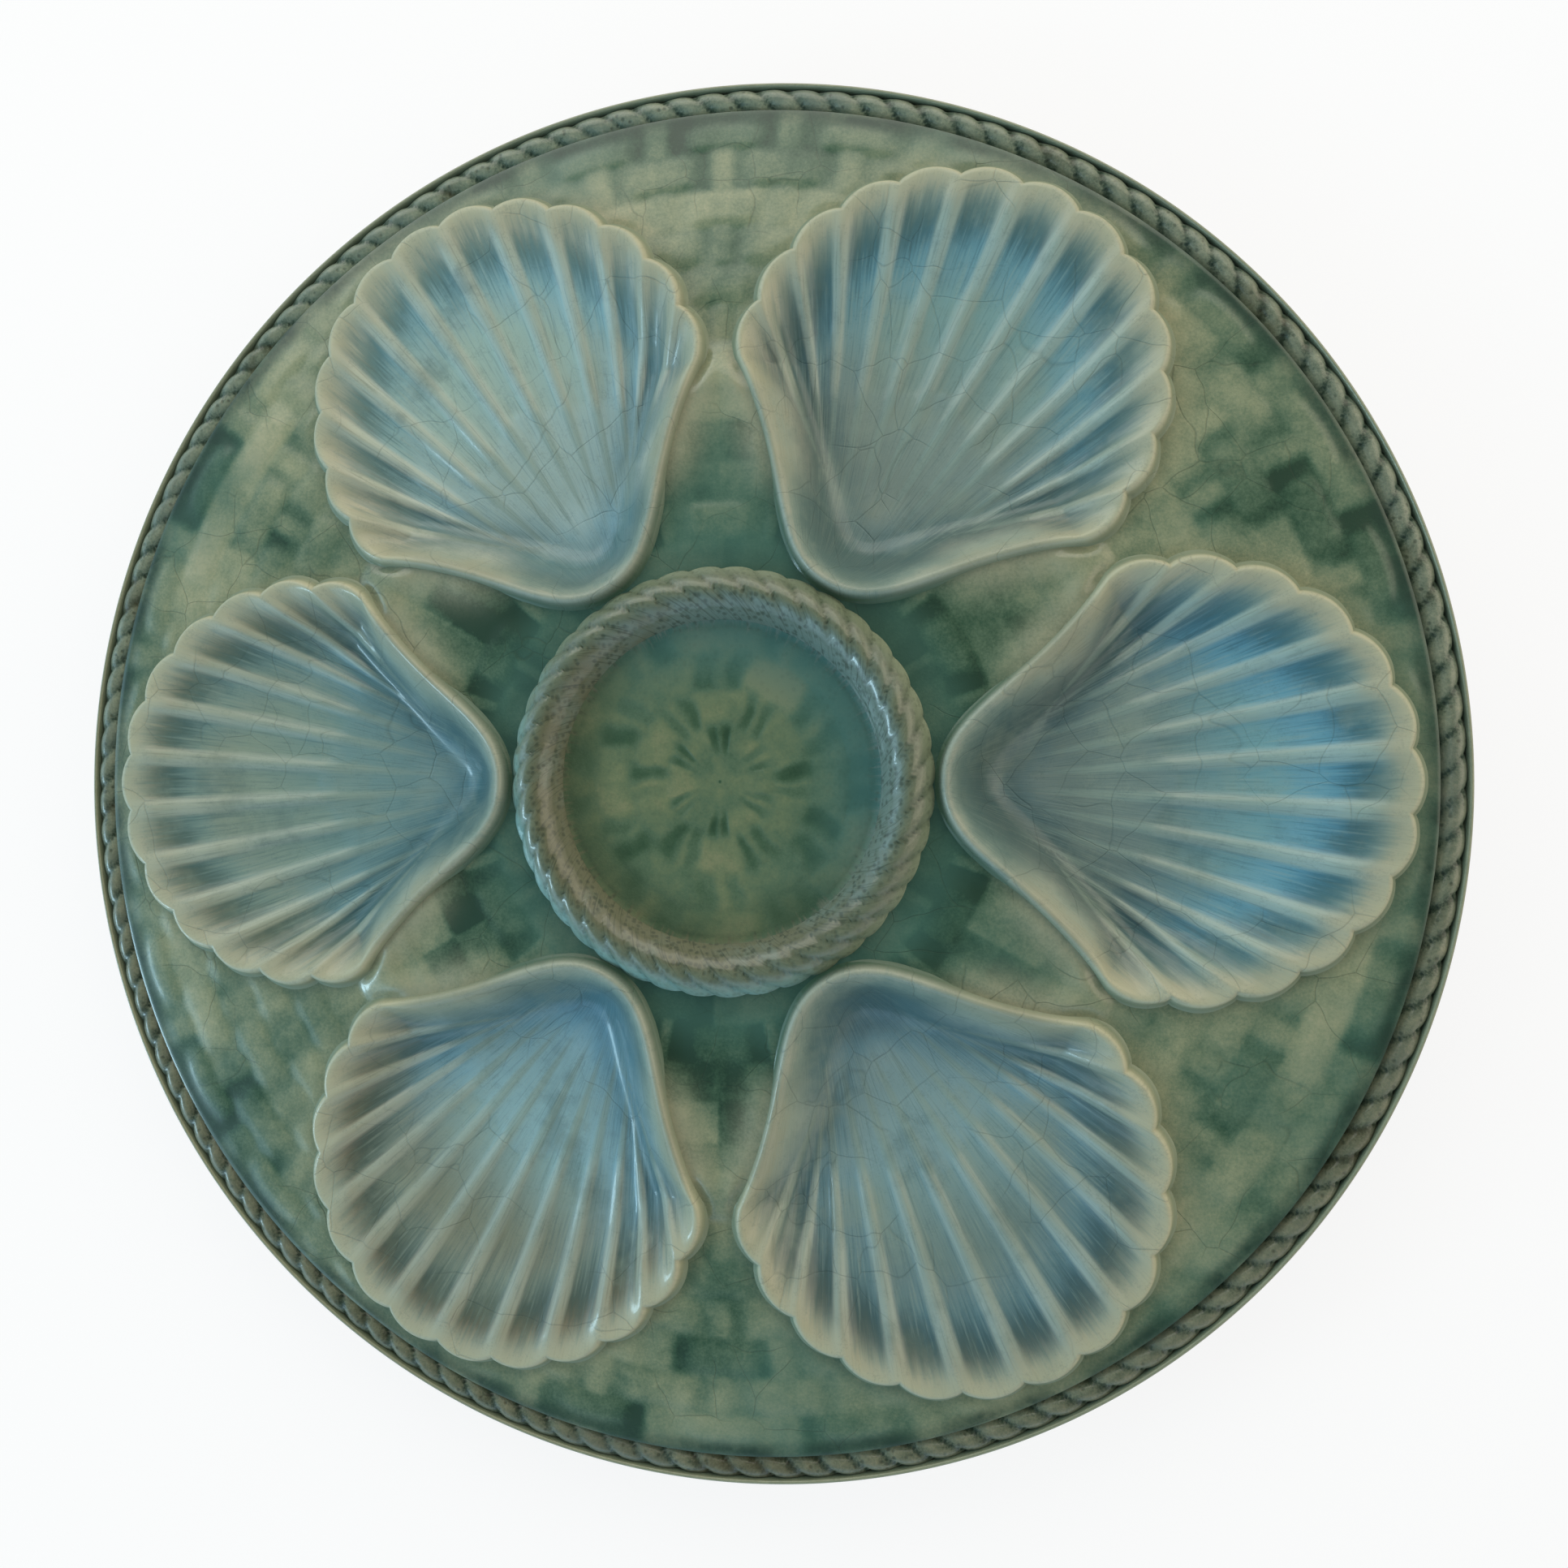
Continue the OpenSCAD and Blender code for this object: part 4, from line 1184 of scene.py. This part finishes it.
# a white floor, a hair lower than the foot ring's standing edge
floorSettings = {"half": 3.0, "gap": 0.02 * mm, "matt": (0.8, 0.8, 0.8, 1), "seenWhite": 0.85}
half = floorSettings["half"]
floorMesh = bpy.data.meshes.new("floor")
floorMesh.from_pydata([(-half, -half, 0), (half, -half, 0), (half, half, 0), (-half, half, 0)], [], [(0, 1, 2, 3)])
floor = linked("floor", floorMesh)
floor.location.z = -floorSettings["gap"]
paper = bpy.data.materials.new("white_paper")
paper.use_nodes = True
paper.node_tree.nodes.clear()
n = Nodes(paper.node_tree)
matt = n.add("ShaderNodeBsdfDiffuse", None, Color=floorSettings["matt"]).outputs[0]
bright = n.add("ShaderNodeEmission", None, Color=white, Strength=1.0).outputs[0]
seen = n.add("ShaderNodeLightPath").outputs["Is Camera Ray"]
n.add("ShaderNodeOutputMaterial", None,
      Surface=n.fed("ShaderNodeMixShader", None, n.times(seen, floorSettings["seenWhite"]), matt, bright))
floorMesh.materials.append(paper)

lampSettings = {
    "topFill": {"at": (-0.12, 0.66, 0.52), "size": (1.1, 0.6), "power": 3.9, "color": (1.0, 0.97, 0.86)},
    "coolSide": {"at": (-0.9, -0.3, 0.5), "size": (1.0, 0.6), "power": 2.6, "color": (0.5, 0.84, 1.0)},
    "warmSide": {"at": (0.85, 0.3, 0.62), "size": (1.0, 0.7), "power": 3.2, "color": (1.0, 0.88, 0.7)},
    "window": {"at": (-0.68, -0.22, 0.34), "size": (0.18, 0.14), "power": 1.2, "color": (0.55, 0.84, 1.0)},
}
lampTarget = Vector((0, 0, 0.015))
for name, lamp in lampSettings.items():
    light = bpy.data.lights.new(name, "AREA")
    light.shape = "RECTANGLE"
    light.size, light.size_y = lamp["size"]
    light.energy = lamp["power"]
    light.color = lamp["color"]
    holder = linked(name, light)
    holder.location = lamp["at"]
    holder.rotation_euler = (lampTarget - Vector(lamp["at"])).to_track_quat("-Z", "Y").to_euler()
print("lamps set:", len(lampSettings))

# a sky that darkens towards its top, cool on the left and warm on the right
skySettings = {
    "levels": [(0.0, 0.8), (0.3, 0.95), (0.5, 0.8), (0.72, 0.3), (0.86, 0.1), (1.0, 0.06)],
    "cool": (0.62, 0.88, 1.06, 1),
    "warm": (1.08, 0.98, 0.82, 1),
    "across": (0.8, 0.5),
    "blend": (-0.7, 0.7),
    "strength": 1.35,
}
world = bpy.data.worlds.new("studio")
bpy.context.scene.world = world
world.use_nodes = True
world.node_tree.nodes.clear()
n = Nodes(world.node_tree)
x, y, z = n.split(n.add("ShaderNodeTexCoord").outputs["Generated"])
band = n.ramp(z, [(at, (level, level, level, 1)) for at, level in skySettings["levels"]])
across = n.plus(n.times(x, skySettings["across"][0]), n.times(y, skySettings["across"][1]))
warmth = n.blend(n.step(across, *skySettings["blend"]), skySettings["cool"], skySettings["warm"])
glow = n.add("ShaderNodeBackground", None, Color=n.dye(band, warmth), Strength=skySettings["strength"]).outputs[0]
# the camera itself sees plain white behind the floor's edge
blank = n.add("ShaderNodeBackground", None, Color=white, Strength=1.0).outputs[0]
seen = n.add("ShaderNodeLightPath").outputs["Is Camera Ray"]
n.add("ShaderNodeOutputWorld", None, Surface=n.fed("ShaderNodeMixShader", None, seen, glow, blank))
print("sky made")

cameraFit = {
    "at": (43.5, -1.4, 231.8),
    "target": (8.1, -0.3, 0.0),
    "focalPixels": 1505.0,
    "imagePixels": 1932,
    "sensor": 36.0,
}
camera = bpy.data.cameras.new("camera")
camera.sensor_width = cameraFit["sensor"]
camera.lens = cameraFit["sensor"] * cameraFit["focalPixels"] / cameraFit["imagePixels"]
camera.clip_start = 0.01
viewer = linked("camera", camera)
spot = Vector(cameraFit["at"]) * mm
ahead = (Vector(cameraFit["target"]) * mm - spot).normalized()
right = ahead.cross(Vector((0, 1, 0))).normalized()
axes = Matrix((right, right.cross(ahead), -ahead)).transposed().to_4x4()
viewer.matrix_world = Matrix.Translation(spot) @ axes
bpy.context.scene.camera = viewer
bpy.context.scene.view_settings.view_transform = "Standard"
